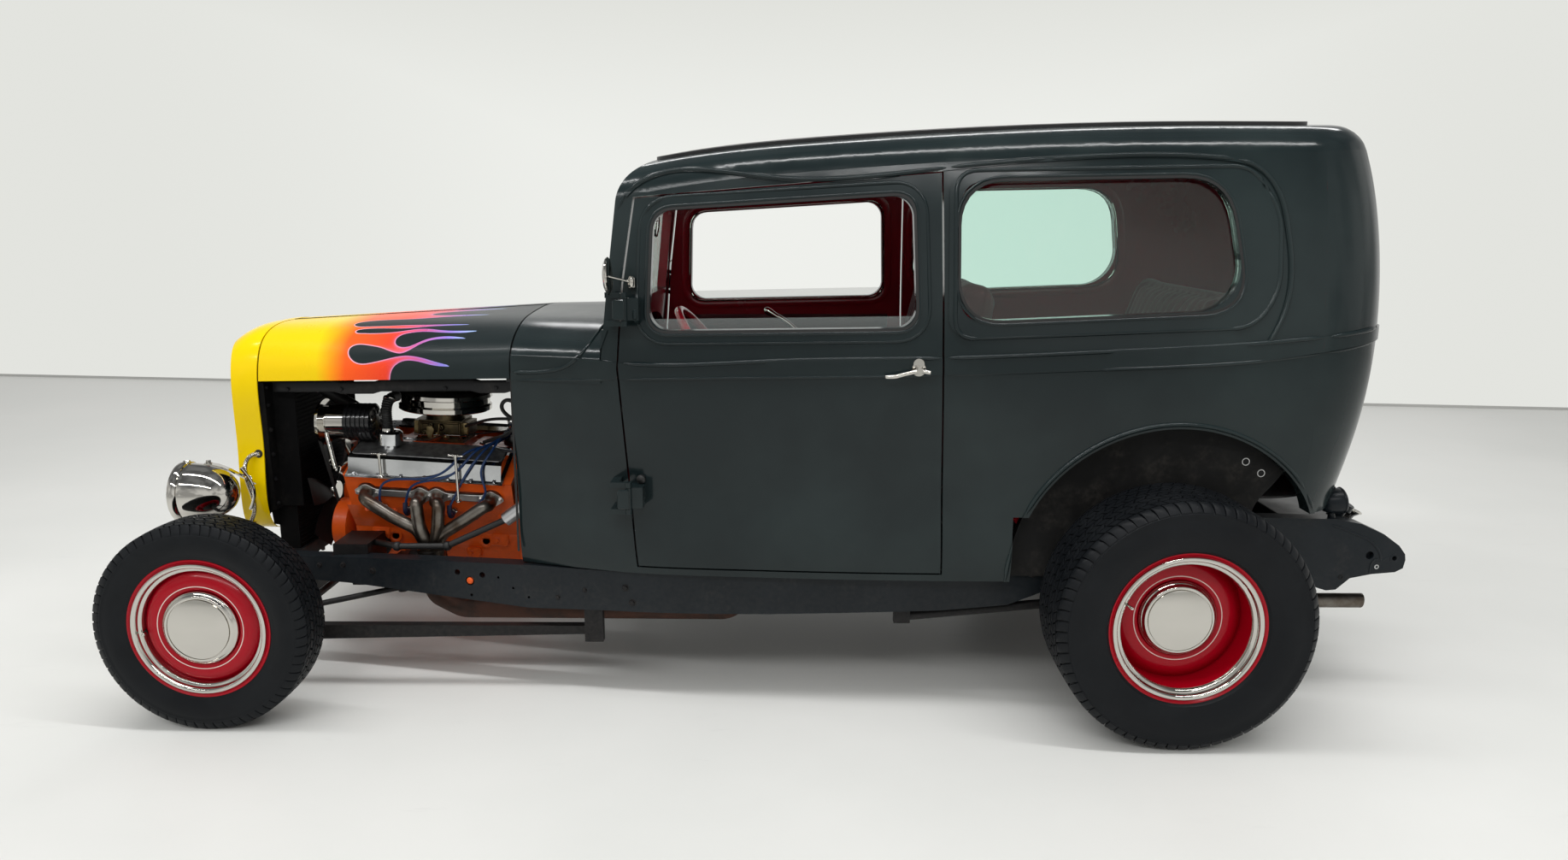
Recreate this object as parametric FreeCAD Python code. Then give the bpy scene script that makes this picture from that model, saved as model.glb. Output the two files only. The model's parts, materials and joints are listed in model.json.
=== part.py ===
import FreeCAD, Part
from FreeCAD import Vector as V
import math
import os

# Hot rod, two-door sedan with an open engine. Millimetres, +Z up, nose towards -X.
# Every length along the car is written from the front axle; place() then centres the car.

# Wheels and axles
WHEELBASE = 2692.0
TYRE_F_D = 600.0
TYRE_R_D = 700.0
TYRE_F_W = 152.0
TYRE_R_W = 272.0
RIM_F_D = 390.0
RIM_R_D = 414.0
TYRE_F_Y = 721.0
TYRE_R_Y = 744.0
DISH_F = 6.0
DISH_R = 80.0
CAP_D = 245.0
RIM_T = 5.0
BEAD = 0.82
SEAT_GAP = 0.3
RUN_GAP = 5.0
HUB_D = 62.0

# Steering
KINGPIN_Y = 606.0
ARM_L = 140.0
TIE_Z = 250.0
PITMAN_X = 242.0
PITMAN_Y = 280.0

# Overall reach
REACH_REAR = 3453.0
X_MID = (REACH_REAR - TYRE_F_D / 2) / 2

# Body, from the hood seam back
COWL_X = 823.0
BODY_Z = 398.0
BELT_Z = 1050.0
SIDE = [(COWL_X, 505), (1000, 560), (1170, 605), (1450, 635), (1800, 655), (2150, 661), (2550, 652)]
SIDE_END = 628.0
CORNER_R = 200.0
REAR_LINE = [(398, 3158), (593, 3236), (821, 3292), (1126, 3322), (1435, 3312), (1700, 3270), (1850, 3235)]
REAR_CROWN = 26.0
LEAN_LOW = 42.0
LEAN_HIGH = 78.0
WINDOW_TOP_Z = 1560.0
WALL = 38.0
ROOF_LINE = [
    (780, 1495), (1000, 1545), (1300, 1612), (1700, 1657), (2200, 1688), (2700, 1703),
    (3100, 1703), (3400, 1690),
]
ROOF_CROWN = 45.0
ROOF_R = 105.0
ROOF_T = 30.0
POST_X = 1100.0
POST_LEAN = 0.105

# Door
DOOR_FRONT = [(1191, BODY_Z + 26), (1150, 1011), (1168, 1240), (1200, 1470)]
DOOR_REAR = [(2061, BODY_Z + 26), (2044, 1056), (2037, 1540)]
DOOR_GAP = 5.0
HINGE_X = 1177.0
HINGE_Y = 646.0
HINGE_PIN_D = 14.0

# Windows, as low front, high front, high rear, low rear corners in side view
DOOR_WINDOW = [(1240, 1113), (1253, 1436), (1960, 1481), (1973, 1128)]
QUARTER_WINDOW = [(2090, 1144), (2090, 1515), (2812, 1530), (2868, 1178)]
WINDOW_R = 55.0
QUARTER_R = 120.0
GLASS_T = 5.0
GLASS_IN = 16.0

# Rear wheel arch
ARCH_X = 2710.0
ARCH_Z = 400.0
ARCH_R = 450.0
TUB_IN = 92.0
TUB_T = 4.0

# Raised mouldings on the panels, as lines in side view
RAISE = 4.0
BELT_LOW = [
    (700, 955), (941, 964), (1141, 975), (1573, 989), (2045, 1000), (2505, 1017), (2922, 1040),
    (3267, 1088), (3400, 1096),
]
BELT_HIGH = [
    (1100, 1026), (1153, 1022), (1573, 1034), (2045, 1047), (2505, 1066), (2906, 1088),
    (3267, 1124), (3400, 1132),
]
COWL_LINE = [(700, 977), (834, 981), (942, 990), (1009, 1014), (1050, 1056), (1082, 1112)]
POST_LINE = [(1122, 1112), (1100, 1056), (1098, 1030)]
REVEAL = 32.0
QUARTER_REVEAL = [(2058, 1098), (2058, 1545), (2880, 1562), (2957, 1440), (2957, 1225), (2890, 1130)]
REVEAL_R = 60.0
DRIP_LINE = [
    (1173, 1480), (1211, 1513), (1571, 1528), (2039, 1552), (2421, 1584), (2787, 1584),
    (2904, 1552), (2950, 1495), (2977, 1393), (2987, 1249), (2969, 1163), (2930, 1083),
]
DRIP_W = 15.0
ARCH_LIP = 16.0

# Hood and grille shell, half sections from the lower edge to the middle of the top
HOOD_X = -22.0
HOOD_FRONT = [(290, 918), (282, 962), (247, 1030), (166, 1072), (0, 1084)]
HOOD_REAR = [(505, 962), (493, 1030), (415, 1088), (199, 1128), (0, 1136)]
HOOD_T = 4.0
SHELL_LOW = [(286, 700), (262, 452), (200, 425)]
SHELL_X = -108.0
PROW_X = -172.0
NOSE = [(-80, 3, 6), (-125, 10, 26), (-160, 22, 58), (-190, 38, 104)]
SHELL_T = 5.0
SHELL_RIM = 48.0
GRILLE_BAR = 4.0
GRILLE_PITCH = 15.0

# Frame
RAIL_PLAN = [
    (-70, 325), (150, 350), (500, 415), (850, 488), (1200, 553), (1700, 578), (2200, 568),
    (2450, 545), (2700, 530), (3137, 510), (REACH_REAR, 492),
]
RAIL_W = 52.0
RAIL_TOP = [
    (-70, 372), (119, 372), (848, 394), (1572, 394), (2245, 398), (2450, 470), (2692, 552),
    (2950, 566), (3137, 560), (3230, 558), (3310, 542), (3380, 510), (3430, 474), (3450, 448),
    (REACH_REAR, 430), (3448, 405),
]
TANK_SIDE = [
    (3000, 356), (3000, 470), (3110, 540), (3290, 538), (3370, 500), (3425, 440), (3410, 400),
    (3240, 350),
]
RAIL_LOW = [
    (-70, 300), (250, 292), (523, 276), (842, 259), (1063, 270), (1571, 278), (2070, 293),
    (2269, 307), (2450, 372), (2692, 448), (2950, 436), (3137, 372), (3185, 350), (3220, 339),
    (3250, 341), (3290, 376), (3354, 388), (3425, 393),
]

# Engine, a V8 that leans back; sections are (out, up) from the crankshaft, for one bank
CRANK_Z = 345.0
ENGINE_X = 472.0
ENGINE_L = 530.0
ENGINE_LEAN = 3.2
BLOCK_HALF = [(0, -72), (96, -72), (122, -58), (150, 0), (165, 60), (234, 150), (94, 240), (0, 240)]
HEAD_HALF = [(234, 150), (292, 262), (300, 264), (166, 328), (120, 300), (94, 240)]
COVER_HALF = [(300, 266), (297, 322), (283, 332), (186, 357), (172, 350), (166, 330)]
FLANGE_HALF = [(306, 261.5), (309, 267), (163, 337), (160, 331.5)]
COVER_L = 481.0
COVER_X = -7.0
PORTS = [-198.0, -26.0, 26.0, 198.0]
PORT_OUT = 266.0
PORT_UP = 212.0
HEADER_D = 40.0
HEADER_Y = 315.0
HEADER_BEND = 60.0
COLLECTOR_X = 496.0
CARB_X = -35.0
PIPE_D = 58.0
TAIL_D = 44.0
MUFFLER_Y = 300.0
MUFFLER_Z = 275.0

# Flexible tube from the shell to the frame, for the lamp's wires
CONDUIT_D = 9.0
CONDUIT = [
    (-45, -287, 685), (-47, -310, 682), (-60, -324, 656), (-71, -324, 612), (-61, -319, 560),
    (-48, -315, 505), (-30, -312, 450), (-6, -306, 405), (-2, -301, 373),
]

# Door handle
HANDLE_X = 1980.0
HANDLE_Z = 1017.0
HANDLE_LINE = [(28, -5), (0, 0), (-38, -9), (-66, -17), (-88, -17)]

ROD_Y = 475.0
AXLE_R_D = 76.0
SHAFT_D = 42.0
SHAFT_OUT = 20.0


def place(shape):
    out = shape.copy()
    out.translate(V(-X_MID, 0, 0))
    return out


def save(node, *shapes):
    solids = [s for one in shapes for s in one.Solids]
    shape = solids[0] if len(solids) == 1 else Part.makeCompound(solids)
    shape = place(shape)
    if not shape.isValid() or not solids:
        print("NOT VALID", node)
    shape.exportStep("parts/" + node + ".step")
    box = shape.BoundBox
    print(node, len(solids), len(shape.Faces), round(shape.Volume / 1e6, 3), box)


def box(x0, x1, y0, y1, z0, z1):
    return Part.makeBox(x1 - x0, y1 - y0, z1 - z0, V(x0, y0, z0))


def rod(a, b, d):
    a, b = V(*a), V(*b)
    return Part.makeCylinder(d / 2, (b - a).Length, a, b - a)


def mirror(shape):
    return shape.mirror(V(0, 0, 0), V(0, 1, 0))


def both(shape):
    return [shape, mirror(shape)]


def join(*shapes):
    first = shapes[0]
    if len(shapes) > 1:
        first = first.multiFuse(list(shapes[1:]))
    return first.removeSplitter()


def middle(shape):
    return max(shape.Solids, key=lambda s: s.Volume)


def spline(points):
    curve = Part.BSplineCurve()
    curve.interpolate([V(*p) for p in points])
    return curve.toShape()


def polygon(points):
    points = [V(*p) for p in points]
    return Part.makePolygon(points + [points[0]])


def side_prism(points, y0, y1):
    """A side-view outline, as (x, z) corners, made solid from y0 to y1."""
    face = Part.Face(polygon([(x, y0, z) for x, z in points]))
    return face.extrude(V(0, y1 - y0, 0))


def front_prism(points, x0, x1):
    """A front-view outline, as (y, z) corners, made solid from x0 to x1."""
    face = Part.Face(polygon([(x0, y, z) for y, z in points]))
    return face.extrude(V(x1 - x0, 0, 0))


def plan_prism(points, z0, z1):
    face = Part.Face(polygon([(x, y, z0) for x, y in points]))
    return face.extrude(V(0, 0, z1 - z0))


def rounded(points, radius, y0, y1):
    """A side-view outline whose upright edges are rounded."""
    solid = side_prism(points, y0, y1)
    edges = [e for e in solid.Edges if abs(e.tangentAt(e.FirstParameter).y) > 0.99]
    return solid.makeFillet(radius, edges)


def lathe(points, x, y, z):
    """Turn an outline of (radius, y) corners about the wheel axis through (x, y, z)."""
    wire = polygon([(x + r, y + w, z) for r, w in points])
    return Part.Face(wire).revolve(V(x, y, z), V(0, 1, 0), 360)


def tube(points, d, bend=1000.0):
    """A round tube of straight runs, joined by arcs as large as bend and the runs allow."""
    pts = [V(*p) for p in points]
    edges = []
    start = pts[0]
    for before, here, after in zip(pts, pts[1:], pts[2:]):
        back = before - here
        on = after - here
        short = min(back.Length, on.Length)
        back.normalize()
        on.normalize()
        half = (math.pi - back.getAngle(on)) / 2
        reach = min(0.45 * short, bend * math.tan(half))
        radius = reach / math.tan(half)
        inward = back + on
        inward.normalize()
        top = here + inward * (radius / math.cos(half) - radius)
        edges.append(Part.makeLine(start, here + back * reach))
        edges.append(Part.Arc(here + back * reach, top, here + on * reach).toShape())
        start = here + on * reach
    edges.append(Part.makeLine(start, pts[-1]))
    ring = Part.Wire(Part.makeCircle(d / 2, pts[0], pts[1] - pts[0]))
    return Part.Wire(edges).makePipeShell([ring], True, False)


def offset_line(points, d):
    """Side-view points moved square to their line by d."""
    out = []
    for n, (x, z) in enumerate(points):
        x0, z0 = points[max(n - 1, 0)]
        x1, z1 = points[min(n + 1, len(points) - 1)]
        run = math.hypot(x1 - x0, z1 - z0)
        out.append((x - d * (z1 - z0) / run, z + d * (x1 - x0) / run))
    return out


def ribbon(low, high):
    """A side-view strip between two smooth lines, made solid across the car."""
    a = spline([(x, -900, z) for x, z in low])
    b = spline([(x, -900, z) for x, z in high[::-1]])
    ends = [Part.makeLine(
        V(p[0], -900, p[1]), V(q[0], -900, q[1]),
    ) for p, q in ((low[-1], high[-1]), (high[0], low[0]))]
    return Part.Face(Part.Wire([a, ends[0], b, ends[1]])).extrude(V(0, 1800, 0))


def interpolate(table, x):
    for (x0, y0), (x1, y1) in zip(table, table[1:]):
        if x <= x1:
            break
    t = min(max((x - x0) / (x1 - x0), 0), 1)
    return y0 + (y1 - y0) * t


# Body surface
def lean(z):
    if z < BELT_Z:
        return LEAN_LOW * ((BELT_Z - z) / (BELT_Z - BODY_Z)) ** 1.6
    return LEAN_HIGH * ((z - BELT_Z) / (WINDOW_TOP_Z - BELT_Z)) ** 1.5


def plan(z, inset):
    """Closed plan outline of the body at one height, moved inwards by inset."""
    low = lean(z) + inset
    xr = interpolate(REAR_LINE, z) - inset
    start = xr - CORNER_R - REAR_CROWN
    side = [(x, -(w - low), z) for x, w in SIDE] + [(start, -(SIDE_END - low), z)]
    edge = spline(side)
    b = V(*side[-1])
    tb = edge.tangentAt(edge.LastParameter)
    c = V(xr - REAR_CROWN * 0.3, -(SIDE_END - low - CORNER_R), z)
    tr = V(REAR_CROWN * 0.6 / (SIDE_END - CORNER_R), 1, 0)
    tr.normalize()
    k = (c - b).Length / math.sqrt(2) * 0.55
    poles = [b, b + tb * k, c - tr * k, c]
    flip = [V(p.x, -p.y, p.z) for p in poles]
    corner = Part.BezierCurve()
    corner.setPoles(poles)
    corner_far = Part.BezierCurve()
    corner_far.setPoles(flip[::-1])
    rear = Part.Arc(c, V(xr, 0, z), flip[3]).toShape()
    far = spline([(x, -y, h) for x, y, h in side[::-1]])
    a = V(*side[0])
    front = Part.makeLine(V(a.x, -a.y, z), a)
    return Part.Wire([edge, corner.toShape(), rear, corner_far.toShape(), far, front])


def roof_section(x, z, drop):
    w = 900.0
    side_z = z - drop - ROOF_CROWN * (w / 560) ** 2
    arc = Part.Arc(V(x, -w, side_z), V(x, 0, z - drop), V(x, w, side_z)).toShape()
    low = BODY_Z - 200
    ends = polygon([(x, w, side_z), (x, w, low), (x, -w, low), (x, -w, side_z)]).Edges[:3]
    return Part.Wire([arc] + ends)


def hood_curve(table, x, inset):
    """Half section points mirrored into one arch, moved inwards by inset."""
    top = table[-1][1]
    half = [(
        y - inset * min(1, y / 250), z - inset * (1 - (top - z) / (top - table[0][1]) * 0.9),
    ) for y, z in table]
    half[0] = (half[0][0], table[0][1])
    return [(x, -y, z) for y, z in half] + [(x, y, z) for y, z in half[-2::-1]]


def arch_face(table, x, inset, low):
    pts = hood_curve(table, x, inset)
    top = spline(pts)
    ends = polygon([pts[-1], (x, pts[-1][1], low), (x, pts[0][1], low), pts[0]]).Edges[:3]
    return Part.Wire([top] + ends)


heights = [BODY_Z, 600, 850, BELT_Z, 1200, 1400, WINDOW_TOP_Z, 1800]


def hull(inset, roof_drop, radius):
    solid = Part.makeLoft([plan(z, inset) for z in heights], True, False)
    cap = Part.makeLoft([roof_section(x, z, roof_drop) for x, z in ROOF_LINE], True, False)
    solid = solid.common(cap)
    # everything in front of the windshield plane and above the belt goes
    x_top = POST_X + (1900 - BELT_Z) * POST_LEAN
    front = side_prism(
        [(POST_X + inset, BELT_Z - 20), (x_top + inset, 1900), (700, 1900), (700, BELT_Z - 20)],
        -900, 900,
    )
    upper = solid.cut(front)
    upper = upper.common(box(POST_X - 50, 4000, -900, 900, BELT_Z - 20, 2000))
    edges = [e for e in upper.Edges if e.BoundBox.ZMin > 1440 - roof_drop]
    upper = upper.makeFillet(radius, edges)
    arch_rear = [(w * 1.19, z + 6) for w, z in HOOD_REAR]
    cowl_cap = Part.makeLoft(
        [arch_face(HOOD_REAR, COWL_X, inset, BODY_Z), arch_face(arch_rear, POST_X + 120, inset, BODY_Z)],
        True, True,
    )
    lower = solid.common(box(700, 4000, -900, 900, BODY_Z, BELT_Z - 20))
    cowl = solid.common(box(700, POST_X + 110, -900, 900, BELT_Z - 20, 1400)).common(cowl_cap)
    return join(upper, lower, cowl)


def inset_outline(points, gap):
    """Grow an outline of (x, z) corners outwards by gap about its middle."""
    cx = sum(x for x, z in points) / len(points)
    cz = sum(z for x, z in points) / len(points)
    return [(x + math.copysign(gap, x - cx), z + math.copysign(gap, z - cz)) for x, z in points]


def mouldings(skin):
    """Belt, cowl sweep, window reveals, drip rail and arch lips, cut from a raised skin."""
    belt = ribbon(BELT_LOW, BELT_HIGH)
    sweep = side_prism(COWL_LINE + POST_LINE + [(1098, 960), (700, 955)], -900, 900)
    door_ring = rounded(inset_outline(DOOR_WINDOW, REVEAL), WINDOW_R + REVEAL - 10, -900, 900)
    quarter_ring = rounded(QUARTER_REVEAL, REVEAL_R, -900, 900)
    drip = ribbon(offset_line(DRIP_LINE, -DRIP_W / 2), offset_line(DRIP_LINE, DRIP_W / 2))
    lip = Part.makeCylinder(ARCH_R + ARCH_LIP, 1800, V(ARCH_X, -900, ARCH_Z), V(0, 1, 0))
    lip = lip.common(box(2000, 3600, -900, 900, BODY_Z, 1500))
    return [skin.common(strip) for strip in (belt, sweep, door_ring, quarter_ring, drip, lip)]


plain = hull(0.0, 0.0, ROOF_R)
outer = join(plain, *mouldings(hull(-RAISE, -RAISE, ROOF_R + RAISE)))
inner = hull(WALL, ROOF_T, ROOF_R - ROOF_T)
walls = outer.cut(inner)

door_outline = DOOR_FRONT + DOOR_REAR[::-1]
window_door = rounded(DOOR_WINDOW, WINDOW_R, -900, 900)
quarter_solid = side_prism(QUARTER_WINDOW, -900, 900)
tall = [e for e in quarter_solid.Edges if abs(e.tangentAt(e.FirstParameter).y) > 0.99]
front_edges = [e for e in tall if e.BoundBox.XMin < 2400]
window_quarter = quarter_solid.makeFillet(WINDOW_R, front_edges)
tall = [e for e in window_quarter.Edges if abs(e.tangentAt(e.FirstParameter).y) > 0.99]
rear_edges = [e for e in tall if e.BoundBox.XMin > 2800]
window_quarter = window_quarter.makeFillet(QUARTER_R, rear_edges)

# Wheel arches
arch = Part.makeCylinder(ARCH_R, 2000, V(ARCH_X, -1000, ARCH_Z), V(0, 1, 0))
arch = join(arch, box(ARCH_X - ARCH_R, ARCH_X + 700, -1000, 1000, 0, ARCH_Z + 193))

# Doors
door_cut = side_prism(door_outline, -900, -300)
door_hole = side_prism(inset_outline(door_outline, DOOR_GAP), -900, -300)


def hull_shift(inset):
    return Part.makeLoft([plan(z, inset) for z in heights[3:]], True, False)


door = walls.common(door_cut).cut(window_door)
window_pane = hull_shift(GLASS_IN).cut(hull_shift(GLASS_IN + GLASS_T))
half = box(1000, 4000, -900, -300, 400, 1800)
quarter_pane = window_pane.common(window_quarter).common(half)
lowered = side_prism(
    [
        (DOOR_WINDOW[0][0], DOOR_WINDOW[0][1]), (DOOR_WINDOW[0][0], DOOR_WINDOW[0][1] + 30),
        (DOOR_WINDOW[3][0], DOOR_WINDOW[3][1] + 30), (DOOR_WINDOW[3][0], DOOR_WINDOW[3][1]),
    ],
    -900, -300,
)
door_pane = window_pane.common(window_door).common(lowered)

hinges = []
body_lugs = []
for z in (1174, 645):
    pin = rod((HINGE_X, -HINGE_Y, z - 30), (HINGE_X, -HINGE_Y, z + 30), HINGE_PIN_D + 6)
    leaf = box(HINGE_X - 4, HINGE_X + 40, -HINGE_Y, -HINGE_Y + 100, z - 30, z + 30).cut(outer)
    hinges.append(join(pin, leaf))
    for low in (z - 46, z + 31):
        lug = rod((HINGE_X, -HINGE_Y, low), (HINGE_X, -HINGE_Y, low + 15), HINGE_PIN_D + 6)
        foot = box(HINGE_X - 50, HINGE_X - 26, -HINGE_Y, -HINGE_Y + 100, low, low + 15)
        foot = foot.cut(outer)
        arm = box(HINGE_X - 50, HINGE_X, -HINGE_Y - 6, -HINGE_Y + 6, low, low + 15)
        body_lugs.append(join(lug, arm, foot))
door_side = join(door, *hinges)

# Fixed body panels
body = walls.cut(door_hole).cut(mirror(door_hole)).cut(arch).cut(window_quarter)
windshield_hole = side_prism(
    [(POST_X - 100, 1165), (POST_X - 60, 1470), (POST_X + 160, 1470), (POST_X + 120, 1165)], -500,
    500,
)
body = body.cut(windshield_hole)
rear_window = box(3000, 3500, -330, 330, 1240, 1480)
rear_window = rear_window.makeFillet(
    60, [e for e in rear_window.Edges if abs(e.tangentAt(e.FirstParameter).x) > 0.99],
)
body = body.cut(rear_window)
QUARTER_X = 2049.0
REAR_X = 3085.0
ROOF_SPLIT = 1578.0
cowl = join(body.common(box(700, 1260, -900, 900, 0, 1488)), *[l for lug in body_lugs for l in both(lug)])
quarter = body.common(box(1260, REAR_X, -900, 0, 0, ROOF_SPLIT)).cut(box(1200, QUARTER_X, -900, 0, 800, 2000))
rear_panel = body.common(box(REAR_X, 4000, -900, 900, 0, ROOF_SPLIT))
roof = body.cut(box(700, 1260, -900, 900, 0, 1488)).cut(box(
    QUARTER_X, 4000, -900, 900, 0, ROOF_SPLIT,
)).cut(box(1260, QUARTER_X, -900, 900, 0, 800))
insert_top = Part.makeLoft([roof_section(x, z + 9, 0) for x, z in ROOF_LINE], True, False)
insert_low = Part.makeLoft([roof_section(x, z + SEAT_GAP, 0) for x, z in ROOF_LINE], True, False)
insert_plan = box(1235, 3115, -395, 395, 1400, 1900)
insert_plan = insert_plan.makeFillet(
    70, [e for e in insert_plan.Edges if abs(e.tangentAt(e.FirstParameter).z) > 0.99],
)
roof_insert = insert_top.cut(insert_low).common(insert_plan)

# Glass in the windshield and the back window
windshield = side_prism(
    [(POST_X + 14, 1152), (POST_X + 47, 1482), (POST_X + 53, 1482), (POST_X + 20, 1152)], -512,
    512,
)
windshield = windshield.common(windshield_hole)
back_glass = hull_shift(GLASS_IN).cut(hull_shift(GLASS_IN + GLASS_T)).common(rear_window)

# Wheelhouses, floor and firewall
tub_out = Part.makeCylinder(ARCH_R + TUB_T, 2000, V(ARCH_X, -1000, ARCH_Z), V(0, 1, 0))
tub_out = tub_out.common(box(ARCH_X - 600, ARCH_X + 390, -1000, -660 + TUB_IN, ARCH_Z, 1000)).common(inner)
tub_in = Part.makeCylinder(ARCH_R, 2000, V(ARCH_X, -1000, ARCH_Z), V(0, 1, 0))
tub_in = tub_in.common(box(
    ARCH_X - 600, ARCH_X + 390 - TUB_T, -1000, -660 + TUB_IN - TUB_T, ARCH_Z - 1, 1000,
))
tub = tub_out.cut(tub_in)
FLOOR_T = 6.0
floor_half = 660 - TUB_IN - 1
room = inner.common(box(COWL_X, REAR_X, -900, 900, BODY_Z, 1500))
floor_low = room.common(box(COWL_X + 5, 2250, -900, 900, BODY_Z, BODY_Z + FLOOR_T))
riser = box(2250, 2250 + FLOOR_T, -floor_half + 3, floor_half - 3, BODY_Z, 640)
floor_high = box(2250, 3150, -floor_half + 3, floor_half - 3, 634, 640)
TUNNEL = [(COWL_X, 194), (COWL_X + 50, 190), (COWL_X + 130, 132), (1300, 127), (2249, 118)]
TUNNEL_Z = CRANK_Z - 30


def tunnel_body(inset):
    pts = [(x, r - inset) for x, r in TUNNEL]
    wire = polygon([(TUNNEL[0][0], 0, TUNNEL_Z)] + [(x, 0, TUNNEL_Z + r) for x, r in pts] + [(
        TUNNEL[-1][0], 0, TUNNEL_Z,
    )])
    return Part.Face(wire).revolve(V(0, 0, TUNNEL_Z), V(1, 0, 0), 360)


tunnel = tunnel_body(0).cut(tunnel_body(4)).common(box(COWL_X + 5, 2250, -300, 300, BODY_Z, 700))
floor_low = floor_low.cut(tunnel_body(1))
floor_high = floor_high.common(inner)
floor = join(floor_low, riser.cut(tunnel_body(1)), floor_high, tunnel)
firewall = inner.common(box(COWL_X, COWL_X + 4.7, -900, 900, BODY_Z, 1400))
column_hole = Part.makeCylinder(24, 900, V(1410, -350, 995), V(-0.8, 0, -0.6))
firewall = firewall.cut(column_hole).cut(tunnel_body(0))


# Dashboard, seats and steering wheel
dash = inner.common(side_prism([(1055, 1070), (1110, 1078), (1120, 930), (1095, 930)], -900, 900))
dash = dash.cut(door_hole).cut(mirror(door_hole))
SEAT_Y = 290.0


def seat(x, z, w, depth, back_h, y):
    base = box(x, x + depth, y - w / 2, y + w / 2, z, z + 150)
    back = side_prism(
        [
            (x + depth - 60, z + 150), (x + depth + 60, z + 150), (x + depth + 175, z + back_h),
            (x + depth + 95, z + back_h),
        ],
        y - w / 2, y + w / 2,
    )
    whole = join(base, back)
    return whole.makeFillet(20, [e for e in whole.Edges if e.BoundBox.YLength > w - 5])


seat_front_left = seat(1560, BODY_Z + FLOOR_T + 60, 480, 470, 790, -SEAT_Y)
seat_rear = seat(2400, 640.3, 940, 430, 600, 0)
seat_legs = [box(
    1600, 2000, -SEAT_Y + d - 20, -SEAT_Y + d + 20, BODY_Z + FLOOR_T, BODY_Z + FLOOR_T + 60,
) for d in (-150, 150)]
WHEEL_C = V(1410, -350, 995)
COLUMN = V(-0.80, 0, -0.60)
COLUMN.normalize()
rim = Part.makeTorus(190, 13, WHEEL_C, COLUMN * -1)
hub_w = Part.makeCylinder(38, 34, WHEEL_C + COLUMN * 30, COLUMN * -1)
spokes = []
for a in range(3):
    ang = math.radians(120 * a + 90)
    side_dir = COLUMN.cross(V(0, 1, 0))
    out_dir = V(0, 1, 0) * math.cos(ang) + side_dir * math.sin(ang)
    tip = WHEEL_C + out_dir * 186
    root = WHEEL_C + out_dir * 20 + COLUMN * 14
    spokes.append(rod(tuple(root), tuple(tip), 16))
steering_wheel = join(rim, hub_w, *spokes)
column_top = WHEEL_C + COLUMN * 31
column_end = WHEEL_C + COLUMN * 831
column = rod(tuple(column_top), tuple(column_end), 44)
shaft_path = [column_end, V(560, -359, 412), V(400, -352, 408), V(290, -262, 395)]
shaft = [Part.makeCylinder(10, (b - a).Length, a, b - a) for a, b in zip(shaft_path, shaft_path[1:])]
shaft += [Part.makeSphere(15, q) for q in shaft_path[1:3]]
column = join(column, *shaft)

# Hood, hinged along the middle
hood_front = arch_face(HOOD_FRONT, HOOD_X, 0, 800)
hood_rear = arch_face(HOOD_REAR, COWL_X - RUN_GAP, 0, 800)
hood_out = Part.makeLoft([hood_front, hood_rear], True, True)
hood_in = Part.makeLoft(
    [arch_face(HOOD_FRONT, HOOD_X, HOOD_T, 800), arch_face(HOOD_REAR, COWL_X - RUN_GAP, HOOD_T, 800)],
    True, True,
)
hood_edge = side_prism(
    [
        (HOOD_X, HOOD_FRONT[0][1]), (COWL_X - RUN_GAP, HOOD_REAR[0][1]), (COWL_X - RUN_GAP, 1400),
        (HOOD_X, 1400),
    ],
    -900, 900,
)
hood = hood_out.cut(hood_in).common(hood_edge)
HOOD_PIN_D = 8.0
HOOD_PIN_Z0 = HOOD_FRONT[-1][1] - HOOD_T / 2
HOOD_PIN_Z1 = HOOD_REAR[-1][1] - HOOD_T / 2
hood_left = hood.common(box(-200, 1000, -900, -HOOD_PIN_D / 2 - SEAT_GAP, 0, 2000))
hood_pin = rod((HOOD_X - RUN_GAP + SEAT_GAP, 0, HOOD_PIN_Z0), (COWL_X - SEAT_GAP, 0, HOOD_PIN_Z1), HOOD_PIN_D)
RAD_X0 = HOOD_X - RUN_GAP + SEAT_GAP
bar_y = [HOOD_FRONT[0][0] - 30, HOOD_REAR[0][0] - 22]
support = plan_prism(
    [
        (RAD_X0 + 17, -bar_y[0]), (COWL_X - SEAT_GAP, -bar_y[1]),
        (COWL_X - SEAT_GAP, -bar_y[1] + 20), (RAD_X0 + 17, -bar_y[0] + 20),
    ],
    886, 908,
)

# Grille shell, radiator and grille


def shell_wire(x, inset, drop):
    half = [(y, z) for y, z in HOOD_FRONT[::-1]] + SHELL_LOW
    pts = []
    low = SHELL_LOW[0][1]
    high = HOOD_FRONT[-1][1]
    for y, z in half:
        k = inset * min(1.0, y / 200)
        pts.append((x, -max(y - k, 0), z - drop * max(z - low, 0) / (high - low)))
    ring = pts + [(x, -y, z) for x, y, z in pts[:0:-1]]
    edge = spline(ring[:len(pts)])
    edge2 = spline([(x, -y, z) for x, y, z in pts])
    low = Part.makeLine(V(*pts[-1]), V(x, -pts[-1][1], pts[-1][2]))
    return Part.Wire([edge, low, edge2])


def shell_solid(x0, inset):
    """The shell's body from x0 forward, rounding over towards the nose, moved inwards by inset."""
    rings = [shell_wire(x0, inset, inset)] + [shell_wire(
        x, side + inset, drop + inset,
    ) for x, side, drop in NOSE]
    return Part.makeLoft(rings, True, False)


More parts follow.
